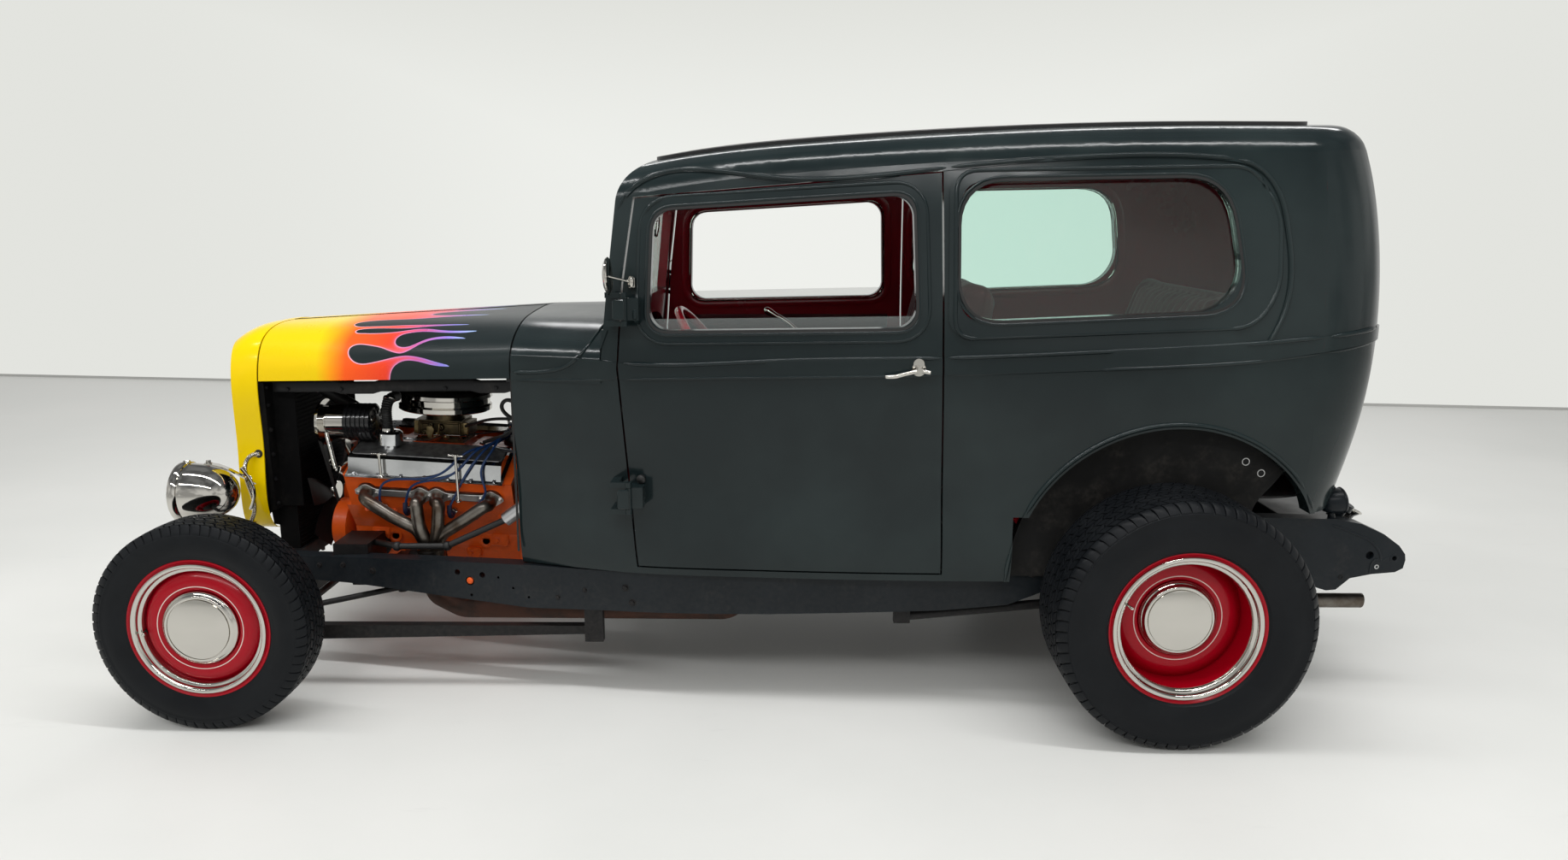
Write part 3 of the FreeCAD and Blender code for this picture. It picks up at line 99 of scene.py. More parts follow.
# Shader groups
class Tree:
    """A node tree with short calls to add and join nodes."""

    def __init__(self, tree):
        self.tree = tree
        self.nodes = tree.nodes
        self.links = tree.links

    def add(self, kind, inputs=None, **values):
        """A new node: inputs go to its sockets, the other values to its settings."""
        node = self.nodes.new("ShaderNode" + kind)
        for key, value in values.items():
            setattr(node, key, value)
        for key, value in (inputs or {}).items():
            self.set(node.inputs[key], value)
        return node

    def set(self, socket, value):
        if isinstance(value, bpy.types.NodeSocket):
            self.links.new(value, socket)
        elif isinstance(value, (tuple, list)) and len(value) == 3 and socket.type == "RGBA":
            socket.default_value = (*value, 1)
        else:
            socket.default_value = value

    def math(self, operation, a, b=0.0):
        return self.add("Math", {0: a, 1: b}, operation=operation).outputs[0]

    def plus(self, a, b):
        return self.math("ADD", a, b)

    def minus(self, a, b):
        return self.math("SUBTRACT", a, b)

    def times(self, a, b):
        return self.math("MULTIPLY", a, b)

    def blend(self, factor, a, b, kind="MIX"):
        node = self.add("Mix", data_type="RGBA", blend_type=kind)
        self.set(node.inputs[0], factor)
        self.set(node.inputs[6], a)
        self.set(node.inputs[7], b)
        return node.outputs[2]

    def between(self, value, low, high, out_low=0.0, out_high=1.0, smooth=False):
        """A value moved from one range to another, and held at its ends."""
        inputs = {0: value, 1: low, 2: high, 3: out_low, 4: out_high}
        kind = "SMOOTHSTEP" if smooth else "LINEAR"
        return self.add("MapRange", inputs, interpolation_type=kind).outputs[0]

    def noise(self, place, scale, detail=3.0, rough=0.5, stretch=None):
        if stretch:
            place = self.stretched(place, stretch)
        inputs = {"Vector": place, "Scale": scale, "Detail": detail, "Roughness": rough}
        return self.add("TexNoise", inputs).outputs["Fac"]

    def stretched(self, place, by):
        return self.add("VectorMath", {0: place, 1: by}, operation="MULTIPLY").outputs[0]

    def place(self):
        return self.add("TexCoord").outputs["Object"]


GREY = (0.5, 0.5, 0.5, 1)


def group(name, outputs, build, **inputs):
    """A node group: numbers give plain sockets, Colour, Film and Dirt give colours."""
    tree = bpy.data.node_groups.new(name, "ShaderNodeTree")
    for label, value in inputs.items():
        kind = "Color" if value == GREY or label == "Dirt" else "Vector"
        if isinstance(value, float):
            kind = "Float"
        socket = tree.interface.new_socket(label, in_out="INPUT", socket_type="NodeSocket" + kind)
        if value is not None:
            socket.default_value = value
    for label in outputs:
        kind = "Color" if label == "Colour" else "Float"
        tree.interface.new_socket(label, in_out="OUTPUT", socket_type="NodeSocket" + kind)
    t = Tree(tree)
    given = t.nodes.new("NodeGroupInput").outputs
    result = t.nodes.new("NodeGroupOutput").inputs
    for label, value in build(t, given).items():
        t.set(result[label], value)
    return tree


def build_cloudy(t, g):
    """A broad film over the colour, with roughness that follows it and a fine speck."""
    broad = t.noise(g["Place"], g["Scale"], 4, 0.6)
    fine = t.noise(g["Place"], t.times(g["Scale"], 14), 3, 0.6)
    cloud = t.between(broad, 0.38, 0.68, smooth=True)
    colour = t.blend(t.times(cloud, g["Amount"]), g["Colour"], g["Film"])
    rough = t.plus(g["Roughness"], t.times(t.minus(cloud, 0.5), g["Spread"]))
    speck = t.times(t.minus(fine, 0.5), t.times(g["Spread"], 0.5))
    return {"Colour": colour, "Roughness": t.plus(rough, speck)}


CLOUDY = group(
    "cloudy_film", ("Colour", "Roughness"), build_cloudy,
    Place=None, Colour=GREY, Film=GREY, Scale=3.0, Amount=0.3, Roughness=0.4, Spread=0.1,
)


def build_grime_and_darker_low(t, g):
    """Dirt that gathers in patches, and a colour darker towards the bottom, from the Top height
    down to the Bottom height.
    """
    height = t.add("SeparateXYZ", {0: g["Place"]}).outputs[2]
    # Darker towards the bottom: from the Top height down to the Bottom height the colour moves
    # towards the Dirt colour
    low = t.between(height, g["Top"], g["Bottom"], smooth=True)
    patch = t.between(t.noise(g["Place"], g["Scale"], 6, 0.65), 0.45, 0.72, smooth=True)
    grit = t.between(t.noise(g["Place"], t.times(g["Scale"], 9), 3), 0.25, 0.7)
    amount = t.times(t.times(t.math("MAXIMUM", t.times(low, 0.6), patch), g["Amount"]), grit)
    amount.node.use_clamp = True
    return {"Colour": t.blend(amount, g["Colour"], g["Dirt"]), "Mask": amount}


GRIME_AND_DARKER_LOW = group(
    "grime_and_darker_low", ("Colour", "Mask"), build_grime_and_darker_low,
    Place=None, Colour=GREY, Dirt=(0.1, 0.08, 0.06, 1), Scale=9.0, Amount=0.4, Top=0.6, Bottom=0.15,
)


def build_grain(t, g):
    """Fine height for cast, brushed or moulded surfaces."""
    fine = t.noise(t.stretched(g["Place"], g["Stretch"]), g["Scale"], 4, 0.6)
    coarse = t.noise(g["Place"], t.times(g["Scale"], 0.12), 3, 0.5)
    return {"Height": t.plus(t.times(fine, 0.7), t.times(coarse, 0.3)), "Fine": fine}


GRAIN = group(
    "surface_grain", ("Height", "Fine"), build_grain,
    Place=None, Stretch=(1, 1, 1), Scale=400.0,
)


def use(t, tree, **inputs):
    """Places a node group in a material, and gives its outputs."""
    node = t.nodes.new("ShaderNodeGroup")
    node.node_tree = tree
    for label, value in inputs.items():
        t.set(node.inputs[label], value)
    return node.outputs


def material(name, **fixed):
    """A new material; fixed values go straight onto its shader's sockets."""
    made = bpy.data.materials.new(name)
    made.use_nodes = True
    t = Tree(made.node_tree)
    shader = t.nodes["Principled BSDF"]
    for label, value in fixed.items():
        t.set(shader.inputs[label.replace("_", " ")], value)
    t.shader = shader
    t.material = made
    return t


def finish(t, colour, rough, height, strength, distance=0.0006):
    """Joins what varies over a surface to its shader, and returns the material."""
    t.set(t.shader.inputs["Base Color"], colour)
    t.set(t.shader.inputs["Roughness"], rough)
    node = t.add("Bump", {"Height": height, "Strength": strength, "Distance": distance})
    t.set(t.shader.inputs["Normal"], node.outputs[0])
    return t.material


def paint(
    name, colour, film, rough, amount=0.25, scale=2.5, spread=0.08, coat=0.0,
    dirt=0.0, dirt_colour=(0.09, 0.08, 0.07), shine=0.5,
):
    """Sprayed paint with a cloudy film, orange peel and, where asked, dirt in patches and a colour
    darker towards the bottom.
    """
    t = material(name, Coat_Weight=coat, Coat_Roughness=0.06, Specular_IOR_Level=shine)
    place = t.place()
    surface = use(
        t, CLOUDY, Place=place, Colour=colour, Film=film, Scale=scale, Amount=amount,
        Roughness=rough, Spread=spread,
    )
    tone, gloss = surface["Colour"], surface["Roughness"]
    # Where asked: dirt in patches, and a colour darker towards the bottom
    if dirt:
        grime = use(t, GRIME_AND_DARKER_LOW, Place=place, Colour=tone, Dirt=dirt_colour, Amount=dirt)
        tone, gloss = grime["Colour"], t.plus(gloss, t.times(grime["Mask"], 0.35))
    peel = use(t, GRAIN, Place=place, Scale=420.0)["Height"]
    return finish(t, tone, gloss, peel, 0.04)


# Mesh shapes: each returns (points, faces) about its own origin
def smooth_line(points, count):
    """Evenly spaced points on one smooth curve through the given ones."""
    pts = [Vector(p) for p in points]
    n = len(pts)
    knots = [0.0]
    for a, b in zip(pts, pts[1:]):
        knots.append(knots[-1] + max((b - a).length, 1e-6))
    gaps = [b - a for a, b in zip(knots, knots[1:])]
    bends = [Vector([0.0] * len(pts[0])) for _ in pts]
    if n > 2:
        upper = [0.0] * n
        right = list(bends)
        for i in range(1, n - 1):
            pull = 6 * ((pts[i + 1] - pts[i]) / gaps[i] - (pts[i] - pts[i - 1]) / gaps[i - 1])
            base = 2 * (gaps[i - 1] + gaps[i]) - gaps[i - 1] * upper[i - 1]
            upper[i] = gaps[i] / base
            right[i] = (pull - gaps[i - 1] * right[i - 1]) / base
        for i in range(n - 2, 0, -1):
            bends[i] = right[i] - upper[i] * bends[i + 1]
    out = []
    i = 0
    for k in range(count):
        t = knots[-1] * k / (count - 1)
        while i < n - 2 and t > knots[i + 1]:
            i += 1
        h = gaps[i]
        a = (knots[i + 1] - t) / h
        b = 1 - a
        bend = (bends[i] * (a**3 - a) + bends[i + 1] * (b**3 - b)) * (h * h / 6)
        out.append(pts[i] * a + pts[i + 1] * b + bend)
    return out


def lofted(rings, loop=True, caps=True, close=False):
    """A skin over rings that all have the same number of points."""
    n = len(rings[0])
    rows = len(rings)
    verts = [Vector(p) for ring in rings for p in ring]
    faces = []
    for row in range(rows if close else rows - 1):
        a = row * n
        b = (row + 1) % rows * n
        for i in range(n if loop else n - 1):
            j = (i + 1) % n
            faces.append((a + i, a + j, b + j, b + i))
    if caps and not close:
        faces.append(tuple(range(n - 1, -1, -1)))
        faces.append(tuple((rows - 1) * n + i for i in range(n)))
    return verts, faces


def turned(outline, steps=48, close=False):
    """An outline of (radius, height) turned about the upright axis."""
    rings = []
    for k in range(steps):
        c, s = math.cos(2 * math.pi * k / steps), math.sin(2 * math.pi * k / steps)
        rings.append([(max(r, 1e-5) * c, max(r, 1e-5) * s, h) for r, h in outline])
    return lofted(rings, loop=close, close=True)


def circle(radius, count):
    turns = [2 * math.pi * k / count for k in range(count)]
    return [(radius * math.cos(a), radius * math.sin(a)) for a in turns]


def inset(outline, d):
    """A closed flat outline, given anticlockwise, moved inwards by d."""
    out = []
    n = len(outline)
    for i, p in enumerate(outline):
        p = Vector(p)
        a = (p - Vector(outline[i - 1])).normalized()
        b = (Vector(outline[(i + 1) % n]) - p).normalized()
        across = Vector((-(a.y + b.y), a.x + b.x))
        if across.length < 1e-6:
            across = Vector((-a.y, a.x))
        across.normalize()
        out.append(p + across * (d / max(0.35, across.dot(Vector((-a.y, a.x))))))
    return [tuple(p) for p in out]


def slab(outline, low, high, edge=0.0):
    """A flat outline given thickness, with its edges eased."""
    steps = [(low, 0.0), (high, 0.0)]
    if edge:
        steps = [(low, edge), (low + edge, 0.0), (high - edge, 0.0), (high, edge)]
    return lofted([[(x, y, h) for x, y in (inset(outline, d) if d else outline)] for h, d in steps])


def corners(w, h, cut):
    """A rectangle of half sizes w and h with its corners cut."""
    half = [(w - cut, -h), (w, cut - h), (w, h - cut), (w - cut, h)]
    return half + [(-x, -y) for x, y in half]


def brick(w, d, h, edge):
    """A block of full sizes w, d and h, with every edge eased."""
    return slab(corners(w / 2, d / 2, edge), -h / 2, h / 2, edge)


def frames_along(points):
    """A pair of cross directions at each point, without twist."""
    ways = []
    for i in range(len(points)):
        a = points[max(i - 1, 0)]
        b = points[min(i + 1, len(points) - 1)]
        ways.append((b - a).normalized())
    side = ways[0].cross(Vector((0, 0, 1)))
    if side.length < 0.2:
        side = ways[0].cross(Vector((0, 1, 0)))
    side.normalize()
    out = []
    for i, way in enumerate(ways):
        side = (side - way * side.dot(way)).normalized()
        out.append((side, way.cross(side)))
    return out


def swept(points, ring, size=None):
    """A section of (x, y) points carried along a line; size(t) scales it on the way."""
    points = [Vector(p) for p in points]
    rings = []
    for k, (p, (u, v)) in enumerate(zip(points, frames_along(points))):
        s = size(k / (len(points) - 1)) if size else 1.0
        rings.append([p + u * (x * s) + v * (y * s) for x, y in ring])
    return lofted(rings)


def facing(place, way, roll=0.0):
    """Stands a shape made about the upright axis at a place, pointing a given way."""
    turn = Vector(way).normalized().to_track_quat("Z", "Y").to_matrix().to_4x4()
    return Matrix.Translation(place) @ turn @ Matrix.Rotation(roll, 4, "Z")


class Piece:
    """Shapes gathered into one piece, each in one of the piece's finishes."""

    def __init__(self, *finishes):
        self.finishes = finishes
        self.verts = []
        self.faces = []
        self.kinds = []

    def add(self, shape, place=None, kind=0):
        """Adds a shape's points and faces, moved to a place, in one of the finishes."""
        verts, faces = shape
        first = len(self.verts)
        self.verts += [place @ v for v in verts] if place else verts
        self.faces += [tuple(first + i for i in face) for face in faces]
        self.kinds += [kind] * len(faces)

    def turn(self, outline, steps, place=None, kind=0, close=False):
        """Adds an outline of (radius, height) turned about the upright axis."""
        self.add(turned(outline, steps, close), place, kind)

    def make(self, name, body, slot=None, replaces=(), sharp=35.0, thickness=0.0):
        """Makes the mesh and sets the body it rides on and what it stands for; its slot is not
        used.
        """
        mesh = bpy.data.meshes.new(name)
        mesh.from_pydata(self.verts, [], self.faces)
        for key in self.finishes:
            mesh.materials.append(M[key])
        mesh.polygons.foreach_set("material_index", self.kinds)
        work = bmesh.new()
        work.from_mesh(mesh)
        bmesh.ops.remove_doubles(work, verts=work.verts, dist=2e-6)
        bmesh.ops.recalc_face_normals(work, faces=work.faces)
        work.to_mesh(mesh)
        work.free()
        mesh.shade_smooth()
        mesh.set_sharp_from_angle(angle=math.radians(sharp))
        made = bpy.data.objects.new(name, mesh)
        bpy.context.scene.collection.objects.link(made)
        if thickness:
            thick = made.modifiers.new("thickness", "SOLIDIFY")
            thick.thickness = thickness
            thick.offset = 0
        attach(made, body)
        if replaces:
            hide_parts(*replaces)
        return made


BODY_DARK = (0.0085, 0.014, 0.0152)
BODY_FILM = (0.021, 0.032, 0.0325)
FLAME_YELLOW = (0.84, 0.575, 0.0)
# Finishes: key, then the material's name, its colours, roughness and what differs from the usual
PAINTS = {
    "body_paint": ("body_satin", BODY_DARK, BODY_FILM, 0.17,
        dict(amount=0.6, scale=1.3, spread=0.07, shine=0.27)),
    "frame_paint": ("frame_satin", (0.007, 0.010, 0.013), (0.015, 0.019, 0.023), 0.34,
        dict(amount=0.4, scale=6, dirt=0.2, shine=0.2)),
    "chassis_black": ("chassis_satin", (0.006, 0.006, 0.007), (0.013, 0.013, 0.013), 0.40,
        dict(amount=0.4, scale=7, dirt=0.25, shine=0.2)),
    "radiator_black": ("radiator_matt", (0.0025, 0.0025, 0.0028), (0.006, 0.006, 0.006), 0.75,
        dict(dirt=0.1, shine=0.1)),
    "wheelhouse_grey": ("wheelhouse_primer", (0.006, 0.006, 0.006), (0.018, 0.018, 0.018), 0.62,
        dict(amount=0.5, scale=5, dirt=0.3, shine=0.15)),
    "wheel_red": ("wheel_gloss", (0.37, 0.001, 0.010), (0.29, 0.001, 0.008), 0.22,
        dict(coat=0.10, spread=0.05, shine=0.2)),
    "engine_orange": ("engine_enamel", (0.78, 0.105, 0.010), (0.62, 0.080, 0.010), 0.33,
        dict(scale=14, coat=0.1, shine=0.3, dirt=0.35, dirt_colour=(0.05, 0.025, 0.012))),
    "yellow_paint": ("shell_yellow", (0.86, 0.60, 0.0), (0.83, 0.58, 0.0), 0.2,
        dict(coat=0.14, shine=0.14, spread=0.04)),
    "maroon_paint": ("cabin_maroon", (0.30, 0.004, 0.014), (0.24, 0.004, 0.012), 0.24,
        dict(coat=0.2)),
    "maroon_plastic": ("rim_maroon", (0.30, 0.005, 0.014), (0.24, 0.005, 0.012), 0.25,
        dict(coat=0.3)),
    "pale_line": ("pale_pinstripe", (0.80, 0.62, 0.58), (0.76, 0.58, 0.55), 0.3, dict(spread=0.05)),
    "lead_blue": ("lead_blue", (0.005, 0.028, 0.105), (0.008, 0.045, 0.13), 0.42, dict()),
    "boot_blue": ("boot_blue", (0.004, 0.008, 0.035), (0.006, 0.012, 0.05), 0.5, dict()),
    "gloss_black": ("gloss_black", (0.006, 0.006, 0.007), (0.012, 0.012, 0.012), 0.20,
        dict(coat=0.3)),
    "belt_rubber": ("belt_rubber", (0.010, 0.010, 0.010), (0.025, 0.025, 0.024), 0.65,
        dict(dirt=0.3)),
    "hose_rubber": ("hose_rubber", (0.008, 0.008, 0.008), (0.018, 0.018, 0.018), 0.50,
        dict(scale=20)),
    "seal_rubber": ("seal_rubber", (0.006, 0.006, 0.006), (0.014, 0.014, 0.014), 0.60,
        dict(scale=15)),
    "shade_black": ("shade_black", (0.003, 0.003, 0.003), (0.006, 0.006, 0.006), 0.85,
        dict(scale=15)),
    "cream_dial": ("cream_dial", (0.62, 0.56, 0.42), (0.50, 0.45, 0.34), 0.35, dict(scale=60)),
    "red_lens": ("red_lens", (0.30, 0.004, 0.006), (0.20, 0.003, 0.005), 0.10, dict(coat=0.8)),
}
METALS = {
    "chrome": ("bright_chrome", (0.58, 0.56, 0.52), 0.06, dict(spread=0.03, strength=0.01)),
    "polished": ("polished_alloy", (0.66, 0.67, 0.68), 0.13,
        dict(scale=500, stretch=(0.08, 1, 1), spread=0.12, tint=(0.5, 0.51, 0.52))),
    "column_metal": ("brushed_column", (0.55, 0.55, 0.56), 0.33,
        dict(scale=500, stretch=(1, 0.1, 1))),
    "cast_grey": ("cast_housing", (0.16, 0.16, 0.16), 0.62,
        dict(scale=260, strength=0.2, tint=(0.10, 0.095, 0.09), dirt=0.5)),
    "header_steel": ("heat_stained_steel", (0.20, 0.185, 0.165), 0.33,
        dict(scale=120, spread=0.25, strength=0.05, tint=(0.085, 0.062, 0.045),
             tint_scale=13, dirt=0.2)),
    "rusty_steel": ("rusty_pipe", (0.075, 0.03, 0.018), 0.75,
        dict(scale=160, spread=0.2, strength=0.25, tint=(0.035, 0.02, 0.014),
             tint_scale=16, metallic=0.25)),
    "carb_bronze": ("bronze_casting", (0.17, 0.13, 0.07), 0.42,
        dict(scale=240, strength=0.12, tint=(0.08, 0.065, 0.04), tint_scale=30, dirt=0.5)),
    "flange_steel": ("flange_steel", (0.90, 0.90, 0.88), 0.40,
        dict(scale=400, tint=(0.70, 0.70, 0.68))),
    "etched_alloy": ("etched_alloy", (0.42, 0.42, 0.42), 0.46,
        dict(scale=260, strength=0.15, tint=(0.25, 0.25, 0.25), tint_scale=40)),
    "brass_plate": ("brass_plate", (0.55, 0.43, 0.22), 0.30,
        dict(tint=(0.30, 0.22, 0.10), tint_scale=60, dirt=0.3)),
    "steel_line": ("steel_line", (0.50, 0.50, 0.50), 0.28, dict(spread=0.15)),
}


def metal(
    name, colour, rough, scale=300.0, stretch=(1, 1, 1), spread=0.08, strength=0.03,
    tint=None, tint_scale=8.0, dirt=0.0, metallic=1.0,
):
    """Bare metal with a grain, a smear in its gloss and, where asked, tint, dirt in patches and a
    colour darker towards the bottom.
    """
    t = material(name, Metallic=metallic)
    place = t.place()
    grain = use(t, GRAIN, Place=place, Stretch=stretch, Scale=scale)
    smear = t.plus(t.times(t.noise(place, 9.0, 4, 0.6), 0.6), t.times(grain["Fine"], 0.4))
    gloss = t.plus(rough, t.times(t.minus(smear, 0.5), spread))
    tone = colour
    if tint:
        patches = t.between(t.noise(place, tint_scale, 5, 0.6), 0.35, 0.7, smooth=True)
        tone = t.blend(patches, colour, tint)
    # Where asked: dirt in patches, and a colour darker towards the bottom
    if dirt:
        grime = use(
            t, GRIME_AND_DARKER_LOW, Place=place, Colour=tone, Dirt=(0.03, 0.025, 0.02), Amount=dirt, Scale=20.0
        )
        tone, gloss = grime["Colour"], t.plus(gloss, t.times(grime["Mask"], 0.4))
    return finish(t, tone, gloss, grain["Height"], strength, 0.0004)


def make_rubber():
    """Tyre rubber: dull black under a dusty film, with a fine grain."""
    t = material("tyre_rubber", Specular_IOR_Level=0.16)
    place = t.place()
    film = use(
        t, CLOUDY, Place=place, Colour=(0.005, 0.006, 0.0075), Film=(0.0115, 0.013, 0.015),
        Scale=7.0, Amount=0.5, Roughness=0.50, Spread=0.16,
    )
    grain = use(t, GRAIN, Place=place, Scale=600.0)
    return finish(t, film["Colour"], film["Roughness"], grain["Height"], 0.12, 0.0005)


def make_glass(name, colour, alpha):
    """Thin glass: a smeared gloss that is mostly see-through."""
    t = material(name, Base_Color=colour, IOR=1.45, Alpha=alpha)
    smear = t.noise(t.place(), 6.0, 4, 0.6)
    t.set(t.shader.inputs["Roughness"], t.between(smear, 0.3, 0.8, 0.02, 0.07))
    return t.material


def make_tinted():
    """Pale green window glass, slightly clouded."""
    t = material("tinted_pane", Transmission_Weight=1.0, IOR=1.42)
    cloud = t.noise(t.place(), 2.5, 4, 0.6)
    tone = t.blend(cloud, (0.78, 0.955, 0.895), (0.82, 0.965, 0.91))
    t.set(t.shader.inputs["Base Color"], tone)
    t.set(t.shader.inputs["Roughness"], t.between(cloud, 0.3, 0.8, 0.0, 0.02))
    return t.material


def make_cloth(name, colour, light, scale, strength):
    """Cloth with a weave of three crossed waves."""
    t = material(name, Sheen_Weight=0.25, Sheen_Roughness=0.5, Specular_IOR_Level=0.3)
    place = t.place()
    inputs = {"Vector": place, "Scale": scale, "Distortion": 1.5, "Detail": 2, "Detail Scale": 3}
    x, y, z = [
        t.add("TexWave", inputs, wave_type="BANDS", bands_direction=axis).outputs["Fac"]
        for axis in "XYZ"
    ]
    weave = t.times(t.plus(t.plus(x, y), z), 0.333)
    cloud = t.noise(place, 7.0, 5, 0.6)
    tone = t.blend(t.times(t.plus(weave, cloud), 0.5), colour, light)
    return finish(t, tone, t.between(cloud, 0.3, 0.7, 0.75, 0.92), weave, strength)


def ramp(t, factor, stops):
    """A colour ramp of (place, colour) stops."""
    node = t.add("ValToRGB", {0: factor})
    while len(node.color_ramp.elements) < len(stops):
        node.color_ramp.elements.new(0.5)
    for element, (place, colour) in zip(node.color_ramp.elements, stops):
        element.position = place
        element.color = (*colour, 1)
    return node.outputs[0]


FIRE = (
    (0.0, FLAME_YELLOW), (0.245, FLAME_YELLOW), (0.315, (0.93, 0.33, 0.004)),
    (0.39, (0.90, 0.105, 0.010)), (0.58, (0.80, 0.055, 0.018)), (0.72, (0.62, 0.07, 0.16)),
    (0.90, (0.30, 0.12, 0.50)),
)
FLAME_OUTLINE = (
    (0.36, (0.80, 0.42, 0.50)), (0.56, (0.74, 0.25, 0.38)), (0.72, (0.50, 0.14, 0.42)),
    (0.84, (0.26, 0.22, 0.70)), (0.95, (0.35, 0.50, 0.85)),
)
FLAME_LENGTH = 0.72


def make_flame_paint():
    """Yellow running back into orange and red licks on the dark satin, finely outlined."""
    t = material("hood_flames", Coat_Weight=0.08, Coat_Roughness=0.10, Specular_IOR_Level=0.2)
    place = t.place()
    depth = t.add("Attribute", attribute_name="flame_depth").outputs["Fac"]
    along = t.add("SeparateXYZ", {0: place}).outputs[0]
    back = t.between(along, AXLE_X, AXLE_X + FLAME_LENGTH)
    haze = t.plus(back, t.times(t.minus(t.noise(place, 9.0, 2, 0.5), 0.5), 0.05))
    fire = ramp(t, haze, FIRE)
    line = ramp(t, back, FLAME_OUTLINE)
    dark = use(
        t, CLOUDY, Place=place, Colour=BODY_DARK, Film=BODY_FILM, Scale=1.7, Amount=0.35,
        Roughness=0.36, Spread=0.08,
    )
    glow = t.between(depth, 0.0005, 0.012, 0.55, 0.0, smooth=True)
    glow = t.times(glow, t.between(back, 0.5, 0.75, smooth=True))
    fire = t.blend(glow, fire, line)
    inside = t.between(depth, -0.0002, 0.0002)
    edge = t.between(t.math("ABSOLUTE", depth), 0.0021, 0.0016)
    stripe = t.times(edge, t.between(back, 0.34, 0.37))
    colour = t.blend(stripe, t.blend(inside, dark["Colour"], fire), line)
    gloss = t.minus(dark["Roughness"], t.times(t.math("MAXIMUM", inside, stripe), 0.07))
    peel = use(t, GRAIN, Place=place, Scale=420.0)["Height"]
    return finish(t, colour, gloss, peel, 0.03)


M = {key: paint(*row, **rest) for key, (*row, rest) in PAINTS.items()}
M.update({key: metal(*row, **rest) for key, (*row, rest) in METALS.items()})
M.update(
    tyre=make_rubber(),
    tinted_glass=make_tinted(),
    clear_glass=make_glass("clear_pane", (0.4, 0.45, 0.44), 0.14),
    lens_glass=make_glass("lamp_pane", (0.75, 0.78, 0.78), 0.35),
    maroon_fabric=make_cloth("seat_cloth", (0.055, 0.008, 0.012), (0.11, 0.018, 0.022), 160, 0.5),
    roof_cloth=make_cloth("roof_cover", (0.008, 0.008, 0.0085), (0.022, 0.022, 0.022), 120, 0.7),
    flame_paint=make_flame_paint(),
)

slot_of = {row["node"]: row["material_slot"] for row in frame["record"]["subparts"]}
for name, obj in nodes.items():
    obj.data.materials.clear()
    obj.data.materials.append(M[slot_of[name]])


# Faces of the solids that carry a second finish
def paint_faces(name, second, test):
    """Gives a second finish to the faces whose middle (from the front axle) and direction pass."""
    obj = nodes[name]
    obj.data.materials.append(M[second])
    kind = len(obj.data.materials) - 1
    turn = obj.matrix_world.to_3x3()
    for face in obj.data.polygons:
        middle = obj.matrix_world @ face.center
        if test(middle.x - AXLE_X, middle.y, middle.z, turn @ face.normal):
            face.material_index = kind


def faces_cabin(x, y, z, way):
    """True for panel faces that look into the cabin."""
    if z < 0.42 or x < 0.86 or (2.0 < x < 3.25 and z < 0.88) or (x < 1.225 and abs(y) > 0.622):
        return False
    if z > 1.36 and abs(y) < 0.54 and way.z < -0.35:
        return True
    inward = Vector((0, -y, 0))
    if x > 3.05:
        inward = Vector((-0.6, -y * 0.6, 0))
    if x < 1.15 and abs(y) < 0.5:
        inward = Vector((0.6, 0, 0))
    return inward.length > 0.05 and way.dot(inward.normalized()) > 0.5


bpy.context.view_layer.update()
for name in ("door_left", "door_right", "cowl", "quarter_panels", "rear_panel", "roof", "firewall"):
    paint_faces(name, "maroon_paint", faces_cabin)
paint_faces("steering_column", "hose_rubber", lambda x, y, z, way: x < 0.735)
paint_faces("exhaust_pipes", "header_steel", lambda x, y, z, way: x > 3.0)


def surface(name):
    """A lookup of where a straight line meets a solid."""
    obj = nodes[name]
    verts = [obj.matrix_world @ v.co for v in obj.data.vertices]
    return bvhtree.BVHTree.FromPolygons(verts, [tuple(p.vertices) for p in obj.data.polygons])


SURFACES = {}


def wall(name, x, z, side, inside=False):
    """The point and direction of a side panel's outer or inner face at x, z from the axle."""
    if name not in SURFACES:
        SURFACES[name] = surface(name)
    start = at(x, 0.0 if inside else side * 1.2, z)
    ray = Vector((0, side if inside else -side, 0))
    point, way = SURFACES[name].ray_cast(start, ray)[:2]
    if point is None:
        return None, None
    if way.y * side * (-1 if inside else 1) < 0:
        way = -way
    return point, way


# Tyres: a smooth carcass with raised tread blocks
GROOVE = 0.0075
TYRE_STEPS = 112
WHEEL_STEPS = 96
TYRES = {
    "front": dict(x=0.0, y=0.721, wide=0.152, high=0.600, rim=0.390, dish=0.006, pitches=66),
    "rear": dict(x=WHEELBASE, y=0.744, wide=0.272, high=0.700, rim=0.414, dish=0.080, pitches=70),
}


def wheel_place(row, side):
    """Stands a wheel's shapes, made with their outer face up, on its axle."""
    return facing(at(row["x"], side * row["y"], row["high"] / 2), (0, side, 0))


def carcass_outline(row):
    """Half of the tyre's section, as (radius, out) from the bead to the middle of the tread."""
    h = row["wide"] / 2
    inner = row["rim"] / 2 - 0.006
    outer = row["high"] / 2
    depth = outer - inner
    return [
        (inner, h * 0.80), (inner + 0.006, h * 0.815), (inner + 0.014, h * 0.86),
        (inner + 0.017, h * 0.89), (inner + 0.022, h * 0.895), (inner + depth * 0.28, h * 0.965),
        (inner + depth * 0.48, h * 0.998), (inner + depth * 0.62, h * 0.985),
        (outer - 0.034, h * 0.955), (outer - 0.0315, h * 0.962), (outer - 0.029, h * 0.958),
        (outer - 0.027, h * 0.935), (outer - 0.018, h * 0.872), (outer - 0.0115, h * 0.80),
        (outer - GROOVE, h * 0.70), (outer - GROOVE + 0.0015, h * 0.35),
        (outer - GROOVE + 0.002, 0.0),
    ]


def tread_top(row, out):
    """Radius of the worn face of the tread at a place across it."""
    h = row["wide"] / 2
    t = min(1.0, abs(out) / h)
    return row["high"] / 2 - 0.0035 * t**2 - max(0.0, t - 0.76) ** 1.7 * 0.36


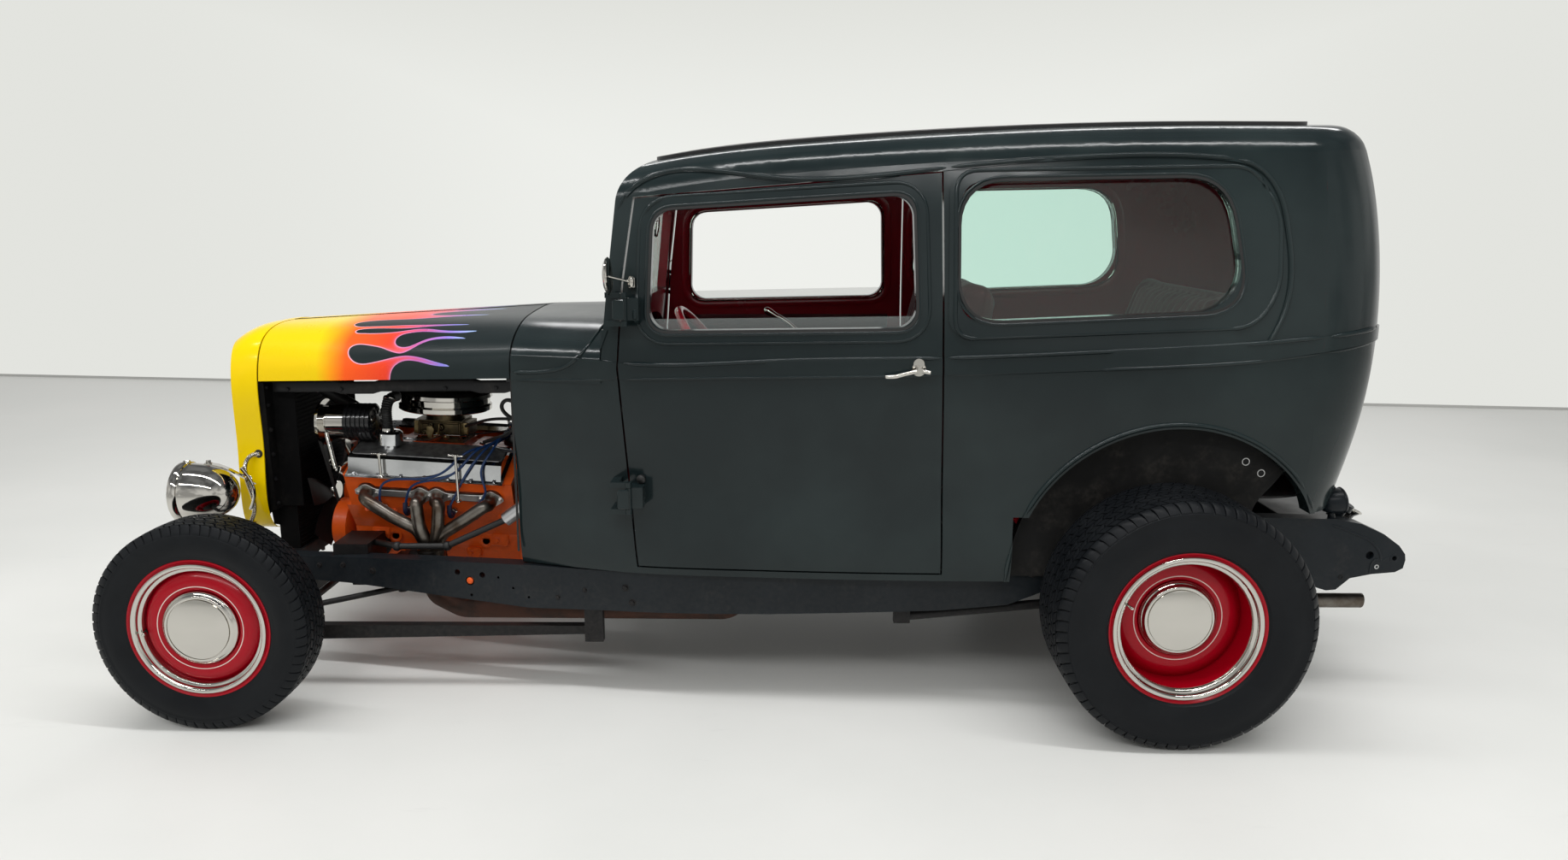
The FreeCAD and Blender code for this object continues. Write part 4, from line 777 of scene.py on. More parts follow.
def tread_block(row, outs, angle, half, slant, side):
    """One block: places across the tread, angle about the axle, half length and slant."""
    rings = []
    taper = 0.0011
    for k, out in enumerate(outs):
        top = tread_top(row, out)
        low = top - GROOVE - 0.002
        middle = angle + slant(k / (len(outs) - 1)) / top
        inner = half / top
        rings.append([
            (r * math.cos(a), r * math.sin(a), side * out)
            for r, a in (
                (low, middle - inner - taper / top), (top - 0.0007, middle - inner),
                (top, middle - inner + taper / top), (top, middle + inner - taper / top),
                (top - 0.0007, middle + inner), (low, middle + inner + taper / top),
            )
        ])
    return lofted(rings)


def tread_ribs(row):
    """Rows of blocks from the middle out: places across, share of the pitch, slant, offset."""
    h = row["wide"] / 2
    long = 2 * math.pi * row["high"] / 2 / row["pitches"]
    zig = lambda t: (0.34 * long) * (t - 0.5) + 0.05 * long * math.sin(6.28 * t)
    zag = lambda t: -(0.38 * long) * (t - 0.5)
    curl = lambda t: 0.30 * long * (1 - t) ** 2
    if row["wide"] < 0.2:
        spans = [(0.03, 0.21), (0.255, 0.45), (0.495, 0.69)]
        ways = [zag, zig, zag]
    else:
        spans = [(0.02, 0.15), (0.18, 0.32), (0.35, 0.50), (0.53, 0.69)]
        ways = [zig, zag, zig, zag]
    ribs = []
    for n, ((a, b), way) in enumerate(zip(spans, ways)):
        outs = [h * (a + (b - a) * k / 3) for k in range(4)]
        ribs.append((outs, 0.415, way, 0.5 * (n % 2) + 0.17 * n))
    shoulder = [h * t for t in (0.735, 0.79, 0.84, 0.885, 0.925, 0.948)]
    ribs.append((shoulder, 0.405, curl, 0.3))
    return ribs


def make_tyre(end, side, name):
    """The carcass, then every tread block on both halves of it."""
    row = TYRES[end]
    half = carcass_outline(row)
    whole = half + [(r, -out) for r, out in half[-2::-1]]
    tyre = Piece("tyre")
    place = wheel_place(row, side)
    tyre.turn(whole, TYRE_STEPS, place, close=True)
    pitch = 2 * math.pi / row["pitches"]
    long = row["high"] / 2 * pitch
    for outs, share, way, offset in tread_ribs(row):
        for hand in (-1, 1):
            for k in range(row["pitches"]):
                uneven = 0.04 * math.sin(2.4 * k) * share
                angle = pitch * (k + offset + 0.37 * (hand > 0) + uneven)
                tyre.add(tread_block(row, outs, angle, long * share, way, hand), place)
    tyre.make("tread_" + name, "wheel_" + name, "tyre", replaces=("tyre_" + name,))


# Wheels: red rim and disc, bright trim ring and hub cap, pale line round the disc
def rim_edge(row):
    """How far out a rim's bead and its top stand, and the radius of its lip."""
    bead = row["wide"] / 2 * 0.82
    return bead, bead + 0.003, row["rim"] / 2 + 0.005


def rim_outline(row):
    """The rim's and the disc's section, as (radius, out), from the back bead round to the hub."""
    bead, top, lip = rim_edge(row)
    r = row["rim"] / 2 - 0.0065
    face = top - row["dish"]
    well = r - 0.021
    line = [
        (r - 0.005, -top), (lip - 0.002, -top), (lip, -top + 0.001), (lip, -bead),
        (r, -bead + 0.0003), (r, -bead + 0.014), (r - 0.016, -bead + 0.030),
        (r - 0.016, bead - 0.030), (r, bead - 0.014), (r, bead - 0.0003), (lip, bead),
        (lip + 0.0004, top - 0.0015), (lip - 0.001, top), (lip - 0.004, top + 0.0004),
        (lip - 0.006, top - 0.001), (r - 0.004, bead - 0.004), (r - 0.006, bead - 0.012),
        (well, bead - 0.029),
    ]
    if row["dish"] > 0.04:
        line += [(well, face + 0.004)]
    line += [
        (well - 0.001, face - 0.027), (well - 0.008, face - 0.021), (well - 0.020, face - 0.009),
        (well - 0.034, face - 0.0045), (0.118, face - 0.0055), (0.108, face - 0.011),
        (0.100, face - 0.024), (0.031, face - 0.028), (0.031, face - 0.036), (0.095, face - 0.033),
        (well - 0.001, face - 0.033), (well - 0.002, -bead + 0.029), (r - 0.005, -bead + 0.010),
    ]
    return line


TRIM_RING = mm(
    (-12, -1), (-12.5, 2.5), (-15, 4), (-20.5, 3.8), (-24, 0.5), (-25.5, -5), (-27, -8.5),
    (-34, -10.5), (-36.2, -13.5), (-37.5, -20), (-36.2, -21.5), (-32, -15), (-20, -10), (-12, -3),
)


def trim_outline(row):
    """The trim ring that covers the rim's outer step."""
    _, top, lip = rim_edge(row)
    return [(lip + r, top + out) for r, out in TRIM_RING]


CAP_RIM = mm((105.5, -14), (106, -6), (104.5, -2), (100, 0), (98.5, 1))
CAP_CROWN = mm(
    (96, 4.5), (92.5, 6.5), (88.5, 5.8), (87.8, 3), (86.2, 2.8), (85, 6.2), (70, 8.8), (45, 11.2),
    (20, 12.4), (0, 12.8),
)
CAP_BACK = mm((0, -12), (90, -14))


def cap_outline(row):
    """The hub cap: a stepped rim round a low crowned middle."""
    face = rim_edge(row)[1] - row["dish"]
    proud = 0.0 if row["dish"] < 0.04 else 0.006
    crown = [(r, face + out + proud) for r, out in CAP_CROWN]
    rim, back = [[(r, face + out) for r, out in part] for part in (CAP_RIM, CAP_BACK)]
    return rim + crown + back


VALVE_FOOT = mm((0, 0), (6.5, 0), (6, 10), (4.2, 13), (4.2, 20), (0, 20))
VALVE_STEM = mm((0, 19.5), (3.2, 19.5), (3.2, 34), (4.6, 35), (4.6, 44), (3, 46), (0, 46))
VALVE_ANGLE = {"front": 186, "rear": 159}


def make_wheel(end, side, name):
    """A wheel's red rim, bright trim ring and hub cap, pale line and valve."""
    row = TYRES[end]
    place = wheel_place(row, side)
    body = "wheel_" + name
    bead, top, _ = rim_edge(row)
    face = top - row["dish"]
    red = Piece("wheel_red")
    red.turn(rim_outline(row), WHEEL_STEPS, place, close=True)
    red.make("rim_" + name, body, "wheel_red", replaces=("wheel_" + name,), sharp=28)
    for part, outline in (("trim_ring_", trim_outline(row)), ("hub_cap_", cap_outline(row))):
        bright = Piece("chrome")
        bright.turn(outline, WHEEL_STEPS, place, close=True)
        bright.make(part + name, body, "chrome", sharp=50)
    line = Piece("pale_line")
    r, out = 0.1185, face - 0.005
    ring = [(r, out), (r + 0.0012, out + 0.0006), (r + 0.0026, out), (r + 0.0012, out - 0.001)]
    line.turn(ring, WHEEL_STEPS, place, close=True)
    line.make("pinstripe_" + name, body)
    valve = Piece("chrome", "chassis_black")
    angle = math.radians(VALVE_ANGLE[end] if side < 0 else 20)
    way = Vector((math.cos(angle), math.sin(angle), 0))
    well = row["rim"] / 2 - 0.0065 - 0.021
    root = way * (well - 0.002) + Vector((0, 0, bead - 0.034))
    stem = place @ facing(root, Vector((-way.x * 0.3, -way.y * 0.3, 1)))
    valve.turn(VALVE_FOOT, 12, stem, 1)
    valve.turn(VALVE_STEM, 12, stem)
    valve.make("valve_" + name, body, "chrome")


for end in ("front", "rear"):
    for side, hand in SIDES:
        make_wheel(end, side, end + "_" + hand)
        make_tyre(end, side, end + "_" + hand)


# Hood tops: the frame's own arch sections, skinned finely enough to carry the flames' outline
HOOD_X0 = -0.022
HOOD_X1 = 0.818
HOOD_FRONT = [(290, 918), (282, 962), (247, 1030), (166, 1072), (0, 1084)]
HOOD_REAR = [(505, 962), (493, 1030), (415, 1088), (199, 1128), (0, 1136)]
HOOD_T = 0.004
HOOD_GAP = 0.0043
FLAME_REACH = 0.05
ROWS = 132
COLUMNS = 180

# The flames' edge from the hood's lower rim up to its middle: millimetres along the car, and
# thousandths of the way round the arch. Its sharp tips are named again below.
FLAME_EDGE = [
    (431, -20), (433, 8), (437, 24), (446, 39), (460, 50), (480, 57), (505, 57), (535, 51),
    (560, 44), (590, 38), (628, 35), (600, 42), (575, 49), (550, 57), (520, 65), (490, 70),
    (460, 69), (430, 64), (400, 58), (370, 53), (340, 51), (316, 58), (298, 74), (288, 96),
    (291, 116), (307, 127), (335, 126), (370, 117), (400, 107), (425, 95), (445, 87), (465, 83),
    (484, 88), (505, 101), (530, 118), (560, 129), (590, 131), (625, 129), (664, 126), (635, 133),
    (605, 138), (575, 138), (548, 133), (522, 121), (500, 108), (480, 102), (460, 104), (444, 114),
    (436, 130), (438, 149), (450, 164), (470, 172), (500, 176), (530, 174), (560, 168), (590, 162),
    (620, 158), (650, 156), (690, 159), (650, 163), (620, 166), (590, 171), (560, 179), (530, 188),
    (500, 192), (475, 190), (450, 185), (425, 181), (400, 179), (370, 179), (340, 181), (312, 185),
    (292, 190), (284, 201), (287, 212), (300, 218), (330, 220), (360, 218), (395, 213), (430, 208),
    (460, 206), (495, 208), (540, 211), (590, 210), (652, 207), (600, 214), (550, 219), (500, 224),
    (450, 229), (409, 231), (361, 233), (314, 236), (284, 240), (266, 251), (257, 269), (264, 290),
    (284, 303), (316, 311), (356, 313), (400, 310), (440, 308), (490, 311), (540, 316), (600, 319),
    (682, 320), (630, 328), (580, 336), (530, 346), (495, 358), (478, 372), (474, 388), (484, 404),
    (510, 418), (560, 428), (620, 434), (702, 440), (650, 449), (600, 457), (555, 468), (525, 482),
    (514, 500), (512, 530),
]


FLAME_TIPS = {(628, 35), (664, 126), (690, 159), (652, 207), (682, 320), (702, 440)}


def flame_line():
    """The flames' edge rounded between its tips, as (x, share) points."""
    runs = [[]]
    for p in FLAME_EDGE:
        runs[-1].append(p)
        if p in FLAME_TIPS:
            runs.append([p])
    out = []
    for run in runs:
        out += [(p.x, p.y / 1000) for p in smooth_line(run, 4 * len(run))]
    return out


def hood_arches():
    """The front and rear arches as equal counts of (y, z) points, from the left rim over."""
    arches = []
    for half in (HOOD_FRONT, HOOD_REAR):
        whole = [(-y, z) for y, z in half] + [(y, z) for y, z in half[-2::-1]]
        arches.append([p / 1000 for p in smooth_line(whole, 2 * ROWS + 1)])
    return arches


def arch_length(arch):
    return sum((b - a).length for a, b in zip(arch, arch[1:]))


def hood_skin():
    """Points and faces of the left hood top, and how far each point lies inside the flames."""
    front, rear = hood_arches()
    long = [arch_length(front), arch_length(rear)]
    edge = flame_line()
    reach = lambda x: long[0] + (long[1] - long[0]) * (x - HOOD_X0) / (HOOD_X1 - HOOD_X0)
    wall = [(x / 1000, share * reach(x / 1000)) for x, share in edge]
    strip = [Vector((x, q, h)) for x, q in wall for h in (-0.01, 0.01)]
    quads = [(i, i + 1, i + 3, i + 2) for i in range(0, len(strip) - 2, 2)]
    tree = bvhtree.BVHTree.FromPolygons(strip, quads)
    outer, inner, deep = [], [], []
    for j in range(ROWS + 1):
        share = j / (2 * ROWS)
        crossings = [
            (x0 + (x1 - x0) * (share - s0) / (s1 - s0)) / 1000
            for (x0, s0), (x1, s1) in zip(edge, edge[1:])
            if (s0 <= share) != (s1 <= share)
        ]
        for i in range(COLUMNS + 1):
            k = i / COLUMNS
            x = HOOD_X0 + (HOOD_X1 - HOOD_X0) * k
            p = front[j].lerp(rear[j], k)
            after, before = min(j + 1, 2 * ROWS), max(j - 1, 0)
            q = front[after].lerp(rear[after], k)
            o = front[before].lerp(rear[before], k)
            across = (q - o).normalized()
            p.x = min(p.x, -HOOD_GAP)
            outer.append(at(x, p.x, p.y))
            low = p + Vector((across.y, -across.x)) * HOOD_T
            inner.append(at(x, min(low.x, -HOOD_GAP), low.y))
            near = tree.find_nearest(Vector((x, share * reach(x), 0)))[3]
            inside = sum(c > x for c in crossings) % 2
            near = min(near, FLAME_REACH)
            deep.append(near if inside else -near)
    wide = COLUMNS + 1
    count = len(outer)
    faces = []
    for j in range(ROWS):
        for i in range(COLUMNS):
            a = j * wide + i
            quad = (a, a + 1, a + 1 + wide, a + wide)
            faces.append(quad)
            faces.append(tuple(count + v for v in reversed(quad)))
    rim = list(range(wide)) + [j * wide + COLUMNS for j in range(1, ROWS + 1)]
    rim += [ROWS * wide + i for i in range(COLUMNS - 1, -1, -1)]
    rim += [j * wide for j in range(ROWS - 1, 0, -1)]
    for a, b in zip(rim, rim[1:] + rim[:1]):
        faces.append((b, a, a + count, b + count))
    return outer + inner, faces, deep + deep


def make_hoods():
    """Both hood tops; the right one is the left one mirrored."""
    verts, faces, deep = hood_skin()
    for side, name in SIDES:
        points = [(v.x, v.y * -side, v.z) for v in verts]
        mesh = bpy.data.meshes.new("hood_top_" + name)
        mesh.from_pydata(points, [], [face if side < 0 else face[::-1] for face in faces])
        mesh.materials.append(M["flame_paint"])
        mesh.materials.append(M["shade_black"])
        for i in range(1, 2 * ROWS * COLUMNS, 2):
            mesh.polygons[i].material_index = 1
        mark = mesh.attributes.new("flame_depth", "FLOAT", "POINT")
        mark.data.foreach_set("value", deep)
        mesh.shade_smooth()
        mesh.set_sharp_from_angle(angle=math.radians(40))
        hood = bpy.data.objects.new("hood_top_" + name, mesh)
        bpy.context.scene.collection.objects.link(hood)
        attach(hood, "hood_" + name)
        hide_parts("hood_" + name)


make_hoods()


# Engine dressing, placed in the engine's own level frame and leaned back with it
ENGINE = Vector((0.472, 0.0, 0.345))
LEAN = math.radians(3.2)
LEANED = Matrix.Translation(at(*ENGINE)) @ Matrix.Rotation(LEAN, 4, "Y")
LEVEL = LEANED.to_3x3()


def on_engine(along, out, up):
    """A point given from the crankshaft's middle: along it, out to the right, and up."""
    return LEANED @ Vector((along, out, up))


def on_level(along, out, up):
    """A direction given in the engine's own level frame."""
    return LEVEL @ Vector((along, out, up))


def engine_spot(along, out, up, way):
    """Stands a shape at a place on the engine, pointing a given way in its level frame."""
    return LEANED @ facing(Vector((along, out, up)), way)


def hexagon(size):
    """A hexagon's outline from its width across the flats."""
    return circle(size / math.sqrt(3), 6)


def add_bolt(piece, place, way, size=0.012, kind=0, washer=True):
    """A hexagon head with eased corners, on its washer."""
    spot = facing(place, way, random.uniform(0, 1))
    if washer:
        r = size * 0.78
        ring = [(0, -0.0005), (r, -0.0005), (r, 0.0006), (size * 0.70, 0.0012), (0, 0.0012)]
        piece.turn(ring, 14, spot, kind)
    piece.add(slab(hexagon(size), 0.0005, size * 0.62, size * 0.07), spot, kind)


def bar(piece, a, b, radius, kind=0, sides=12):
    """A round rod with eased ends between two points."""
    a, b = Vector(a), Vector(b)
    long = (b - a).length
    ease = min(radius * 0.3, long * 0.2)
    low = [(0, 0), (radius - ease, 0), (radius, ease)]
    piece.turn(low + [(r, long - h) for r, h in low[::-1]], sides, facing(a, b - a), kind)


def hose(piece, points, radius, kind=0, steps=26, sides=12, ribs=0, depth=0.14):
    """A bent tube on a smooth line, ribbed where it is a corrugated one."""
    line = smooth_line(points, steps)
    size = None
    if ribs:
        size = lambda t: 1 - depth * (0.5 + 0.5 * math.cos(t * ribs * 2 * math.pi))
    piece.add(swept(line, circle(radius, sides), size=size), None, kind)


def make_cover_fittings():
    """T-handled bolts and edge bolts on the valve covers, and the etched plates on their tops."""
    random.seed(3)
    piece = Piece("chrome", "polished")
    for side in (-1, 1):
        for x, top, bottom in ((0.351, 0.694, 0.622), (0.590, 0.690, 0.545)):
            low = at(x, side * 0.317, bottom)
            high = at(x - 0.003, side * 0.314, top)
            bar(piece, low, high, 0.0046)
            ends = high + Vector((-0.024, 0, 0.002)), high + Vector((0.024, 0, -0.001))
            bar(piece, *ends, 0.0042)
            piece.turn(mm((0, -6), (6.5, -6), (6.5, 4), (0, 7)), 12, facing(high, (0, 0, 1)))
            foot = facing(low, (0, side * 0.2, 1))
            piece.turn(mm((0, 0), (9.5, 0), (9.5, 3), (6, 6), (0, 6)), 16, foot)
        for k in range(7):
            x = -0.228 + k * 0.0735
            spot = on_engine(x, side * 0.3035, 0.2715)
            add_bolt(piece, spot, on_level(0, side * 0.45, 0.9), 0.0085, 1)
    piece.make("cover_t_bolts", "chassis", "chrome")
    top = Piece("etched_alloy")
    for side in (-1, 1):
        spot = engine_spot(-0.007, side * 0.235, 0.3455, (0, side * 0.249, 0.968))
        top.add(slab(corners(0.236, 0.0505, 0.007), -0.0008, 0.0012, 0.0006), spot)
    top.make("cover_top_plates", "chassis", "polished")


PORT_PLANE = Vector((0, 0.8876, -0.4606))
PORTS = (-0.198, -0.026, 0.026, 0.198)
FLANGE_HALF = 0.236
FLANGE_STEPS = 96


def make_header_flanges():
    """Scalloped plates round the four ports of each head, with their bolts."""
    piece = Piece("flange_steel")
    random.seed(4)
    for side in (-1, 1):
        out = Vector((0, side * PORT_PLANE.y, PORT_PLANE.z)).normalized()
        up = Vector((0, -out.z * side, out.y * side))
        edge = []
        for k in range(FLANGE_STEPS + 1):
            along = -FLANGE_HALF + 2 * FLANGE_HALF * k / FLANGE_STEPS
            lobe = max(math.exp(-(((along - p) / 0.021) ** 2)) for p in PORTS)
            ease = min(1.0, (FLANGE_HALF - abs(along)) / 0.012)
            high = (0.0135 + 0.021 * lobe) * (0.35 + 0.65 * math.sqrt(max(ease, 0)))
            edge.append((along, high))
        outline = [(a, -h) for a, h in edge] + [(a, h * 0.9) for a, h in edge[::-1]]
        base = Vector((0, side * 0.266, 0.212)) + out * 0.0086
        turn = Matrix((Vector((1, 0, 0)), up, out)).transposed()
        if turn.determinant() < 0:
            turn.col[0] = (-1, 0, 0)
        spot = LEANED @ Matrix.Translation(base) @ turn.to_4x4()
        piece.add(slab(outline, 0, 0.0022, 0.0008), spot)
        for along in (-0.165, -0.066, 0.0, 0.066, 0.165, -0.226, 0.226):
            spot = LEANED @ (base + Vector((along, 0, 0)) + out * 0.002)
            add_bolt(piece, spot, LEVEL @ out, 0.0125)
    piece.make("header_flange_plates", "chassis", "polished")


PLUG = mm((0, 0), (10.5, 0), (10.5, 8), (6, 10), (5.5, 26), (0, 27))
TOWER = mm((0, 0), (7.2, 0), (6.2, 22), (0, 23))
CAP = mm(
    (0, 62), (30, 62), (46, 56), (55.5, 42), (56.2, 2), (56.2, 0), (54.8, 0), (54.8, 41.5), (0, 64)
)


def make_plugs_and_leads():
    """Spark plugs with blue boots, and the leads from the distributor over the covers."""
    piece = Piece("lead_blue", "chrome", "boot_blue")
    cap = on_engine(0.220, 0, 0.385)
    for side in (-1, 1):
        for n, along in enumerate((-0.150, -0.068, 0.072, 0.150)):
            way = on_level(0, side * 0.93, -0.36)
            seat = on_engine(along, side * 0.246, 0.158)
            piece.turn(PLUG, 10, facing(seat, way), 1)
            boot = seat + way * 0.014
            tip = boot + way * 0.030 + Vector((0, 0, 0.030))
            elbow = boot + way * 0.034 + Vector((0, 0, 0.012))
            end = tip + Vector((0, side * 0.004, 0.012))
            hose(piece, [boot, boot + way * 0.022, elbow, end], 0.0078, 2, 9, 10)
            over = [tip + Vector((0, side * 0.002, 0.008))]
            if side < 0:
                over += [
                    tip + Vector((0.010 + 0.01 * n, side * 0.010, 0.060)),
                    on_engine(0.040 + 0.045 * n, side * 0.312, 0.285 + 0.006 * n),
                    on_engine(0.115 + 0.028 * n, side * 0.285, 0.352 + 0.004 * n),
                    on_engine(0.190 + 0.008 * n, side * 0.190, 0.372 + 0.010 * n),
                    on_engine(0.235, side * 0.095, 0.405 + 0.005 * n),
                ]
            else:
                over += [
                    tip + Vector((0.02, side * 0.006, 0.060)),
                    on_engine(0.115 + 0.028 * n, side * 0.310, 0.300),
                    on_engine(0.170 + 0.020 * n, side * 0.250, 0.362),
                    on_engine(0.230, side * 0.110, 0.400 + 0.005 * n),
                ]
            over.append(cap + Vector((0.026 * math.cos(n), side * 0.034, 0.02)))
            hose(piece, over, 0.0038, 0, 44, 8)
    piece.make("plug_leads", "chassis", "engine_orange")
    black = Piece("gloss_black")
    spot = engine_spot(0.220, 0, 0.331, (0, 0, 1))
    black.turn(CAP, 32, spot)
    for k in range(8):
        a = math.radians(45 * k + 10)
        place = Vector((0.036 * math.cos(a), 0.036 * math.sin(a), 0.052))
        black.turn(TOWER, 10, spot @ Matrix.Translation(place))
    black.turn(TOWER, 10, spot @ Matrix.Translation((0, 0, 0.060)))
    black.make("distributor_cap", "chassis", "chassis_black")


def hull_loop(circles, count=40):
    """The taut loop round circles given as (y, z, radius), as one closed run of (y, z) points."""
    points = set()
    for y, z, r in circles:
        points.update((y + a, z + b) for a, b in circle(r, count))
    points = sorted(points)
    cross = lambda o, a, b: (a[0] - o[0]) * (b[1] - o[1]) - (a[1] - o[1]) * (b[0] - o[0])
    halves = []
    for run in (points, points[::-1]):
        half = []
        for p in run:
            while len(half) > 1 and cross(half[-2], half[-1], p) <= 0:
                half.pop()
            half.append(p)
        halves += half[:-1]
    return halves


BELT_X = 0.132
BELT_PULLEYS = ((0.0, 0.362, 0.070), (0.0, 0.502, 0.055), (-0.2, 0.775, 0.058))
FAN_HUB = mm((0, 0), (30, 0), (34, 6), (34, 20), (22, 26), (0, 27))
ALTERNATOR = (0.214, -0.2, 0.775)


def make_fan_and_belt():
    """The fan belt round its three pulleys, and a six-bladed fan."""
    piece = Piece("belt_rubber", "chassis_black", "chrome")
    loop = hull_loop(BELT_PULLEYS)
    middle = Vector([sum(p[k] for p in loop) / len(loop) for k in (0, 1)])
    rows = []
    for y, z in loop:
        front, back = at(BELT_X - 0.005, y, z), at(BELT_X + 0.005, y, z)
        out = Vector((0, front.y - middle.x, front.z - middle.y)).normalized() * 0.006
        rows.append([front, back, back - out, front - out])
    piece.add(lofted(rows, close=True))
    hub = facing(at(0.077, 0, 0.500), (-1, 0, 0))
    piece.turn(FAN_HUB, 24, hub, 2)
    for k in range(6):
        a = math.radians(60 * k + 12)
        c, s = math.cos(a), math.sin(a)
        blade = []
        for t in range(6):
            r = 0.030 + 0.032 * t
            wide = 0.016 + 0.030 * math.sin(min(1.0, t / 4) * 1.5)
            twist = math.radians(28 - 2.5 * t)
            row = []
            for u, v in ((-wide, -0.0009), (wide, -0.0009), (wide, 0.0009), (-wide, 0.0009)):
                across = u * math.cos(twist) - v * math.sin(twist)
                lift = u * math.sin(twist) + v * math.cos(twist)
                row.append((r * c - across * s, r * s + across * c, lift + 0.012))
            blade.append(row)
        piece.add(lofted(blade), hub, 1)
    piece.make("fan_and_belt", "chassis", "chassis_black")


def make_alternator_fins():
    """The alternator's ribbed end with its slots and bolts, and its two brackets."""
    random.seed(5)
    fins = Piece("gloss_black", "chrome")
    spot = facing(at(*ALTERNATOR), (1, 0, 0))
    outline = mm((0, 91.5), (30, 91.5), (50, 88))
    for k in range(6):
        x = 0.080 - 0.0145 * k
        outline += [(0.060, x + 0.004), (0.060, x - 0.002)]
        outline += [(0.0565, x - 0.004), (0.0565, x - 0.008)]
    fins.turn(outline + mm((56.2, 0), (0, 0)), 48, spot)
    for k in range(10):
        a = 2 * math.pi * k / 10
        place = Vector((0.036 * math.cos(a), 0.036 * math.sin(a), 0.0925))
        slot = spot @ Matrix.Translation(place) @ Matrix.Rotation(a, 4, "Z")
        fins.add(brick(0.020, 0.006, 0.003, 0.001), slot)
    for k in range(3):
        a = math.radians(120 * k + 40)
        y, z = ALTERNATOR[1] + 0.047 * math.cos(a), ALTERNATOR[2] + 0.047 * math.sin(a)
        add_bolt(fins, at(0.3055, y, z), (1, 0, 0), 0.009, 1)
    bend = at(0.196, -0.286, 0.640)
    bar(fins, at(0.160, -0.252, 0.750), bend, 0.0065, 1)
    bar(fins, bend, at(0.235, -0.262, 0.602), 0.0065, 1)
    fins.add(brick(0.070, 0.010, 0.024, 0.002), facing(at(0.214, -0.268, 0.642), (0.3, 0, 1)), 1)
    for place in path(1, (0.182, -0.275, 0.660), (0.236, -0.274, 0.630)):
        add_bolt(fins, place, (0, -1, 0), 0.013, 1)
    fins.make("alternator_fins", "chassis", "chassis_black")


def make_carburettor_fittings():
    """Metering plates, screws, shafts, levers and springs on the carburettor's near side."""
    random.seed(6)
    piece = Piece("carb_bronze", "chassis_black", "chrome", "brass_plate")
    near = (0, -1, 0)
    for middle in (-0.110, 0.040):
        plate = slab(corners(0.015, 0.022, 0.004), 0, 0.004, 0.0012)
        piece.add(plate, engine_spot(middle, -0.0465, 0.380, near), 3)
        for u, v in mm((-11, -17), (11, -17), (-11, 17), (11, 17)):
            spot = on_engine(middle + u, -0.0505, 0.380 + v)
            add_bolt(piece, spot, LEVEL @ Vector(near), 0.006, 3, washer=False)
    for along, up, r in (
        (-0.085, 0.366, 0.012), (-0.047, 0.352, 0.017), (-0.013, 0.356, 0.013),
        (-0.065, 0.392, 0.010), (-0.031, 0.385, 0.011),
    ):
        outline = [(0, 0), (r, 0), (r, 0.006), (r * 0.8, 0.010), (r * 0.5, 0.011)]
        outline += [(r * 0.45, 0.020), (0, 0.021)]
        piece.turn(outline, 16, engine_spot(along, -0.0605, up, near), 3 if r > 0.012 else 0)
    for a, b, radius, kind in (
        ((-0.115, -0.080, 0.360), (0.060, -0.082, 0.366), 0.0028, 2),
        ((-0.035, -0.082, 0.362), (-0.030, -0.084, 0.402), 0.0026, 3),
        ((0.040, -0.086, 0.366), (0.205, -0.110, 0.398), 0.0022, 1),
        ((-0.105, -0.064, 0.398), (0.035, -0.064, 0.402), 0.0042, 0),
    ):
        bar(piece, on_engine(*a), on_engine(*b), radius, kind)
    for along in (-0.102, 0.032):
        bar(piece, on_engine(along, -0.066, 0.340), on_engine(along, -0.066, 0.404), 0.0045, 0)
        add_bolt(piece, on_engine(along, -0.066, 0.350), on_level(0, 0, 1), 0.012, 2)
    lever = mm((-6, -20), (6, -20), (14, 10), (6, 22), (-10, 20), (-12, 0))
    piece.add(slab(lever, 0, 0.003, 0.0008), engine_spot(-0.060, -0.086, 0.372, near), 3)
    piece.make("carburettor_fittings", "chassis", "carb_bronze")


CLAMP = mm((18.2, -5), (19.6, -4), (19.6, 4), (18.2, 5))


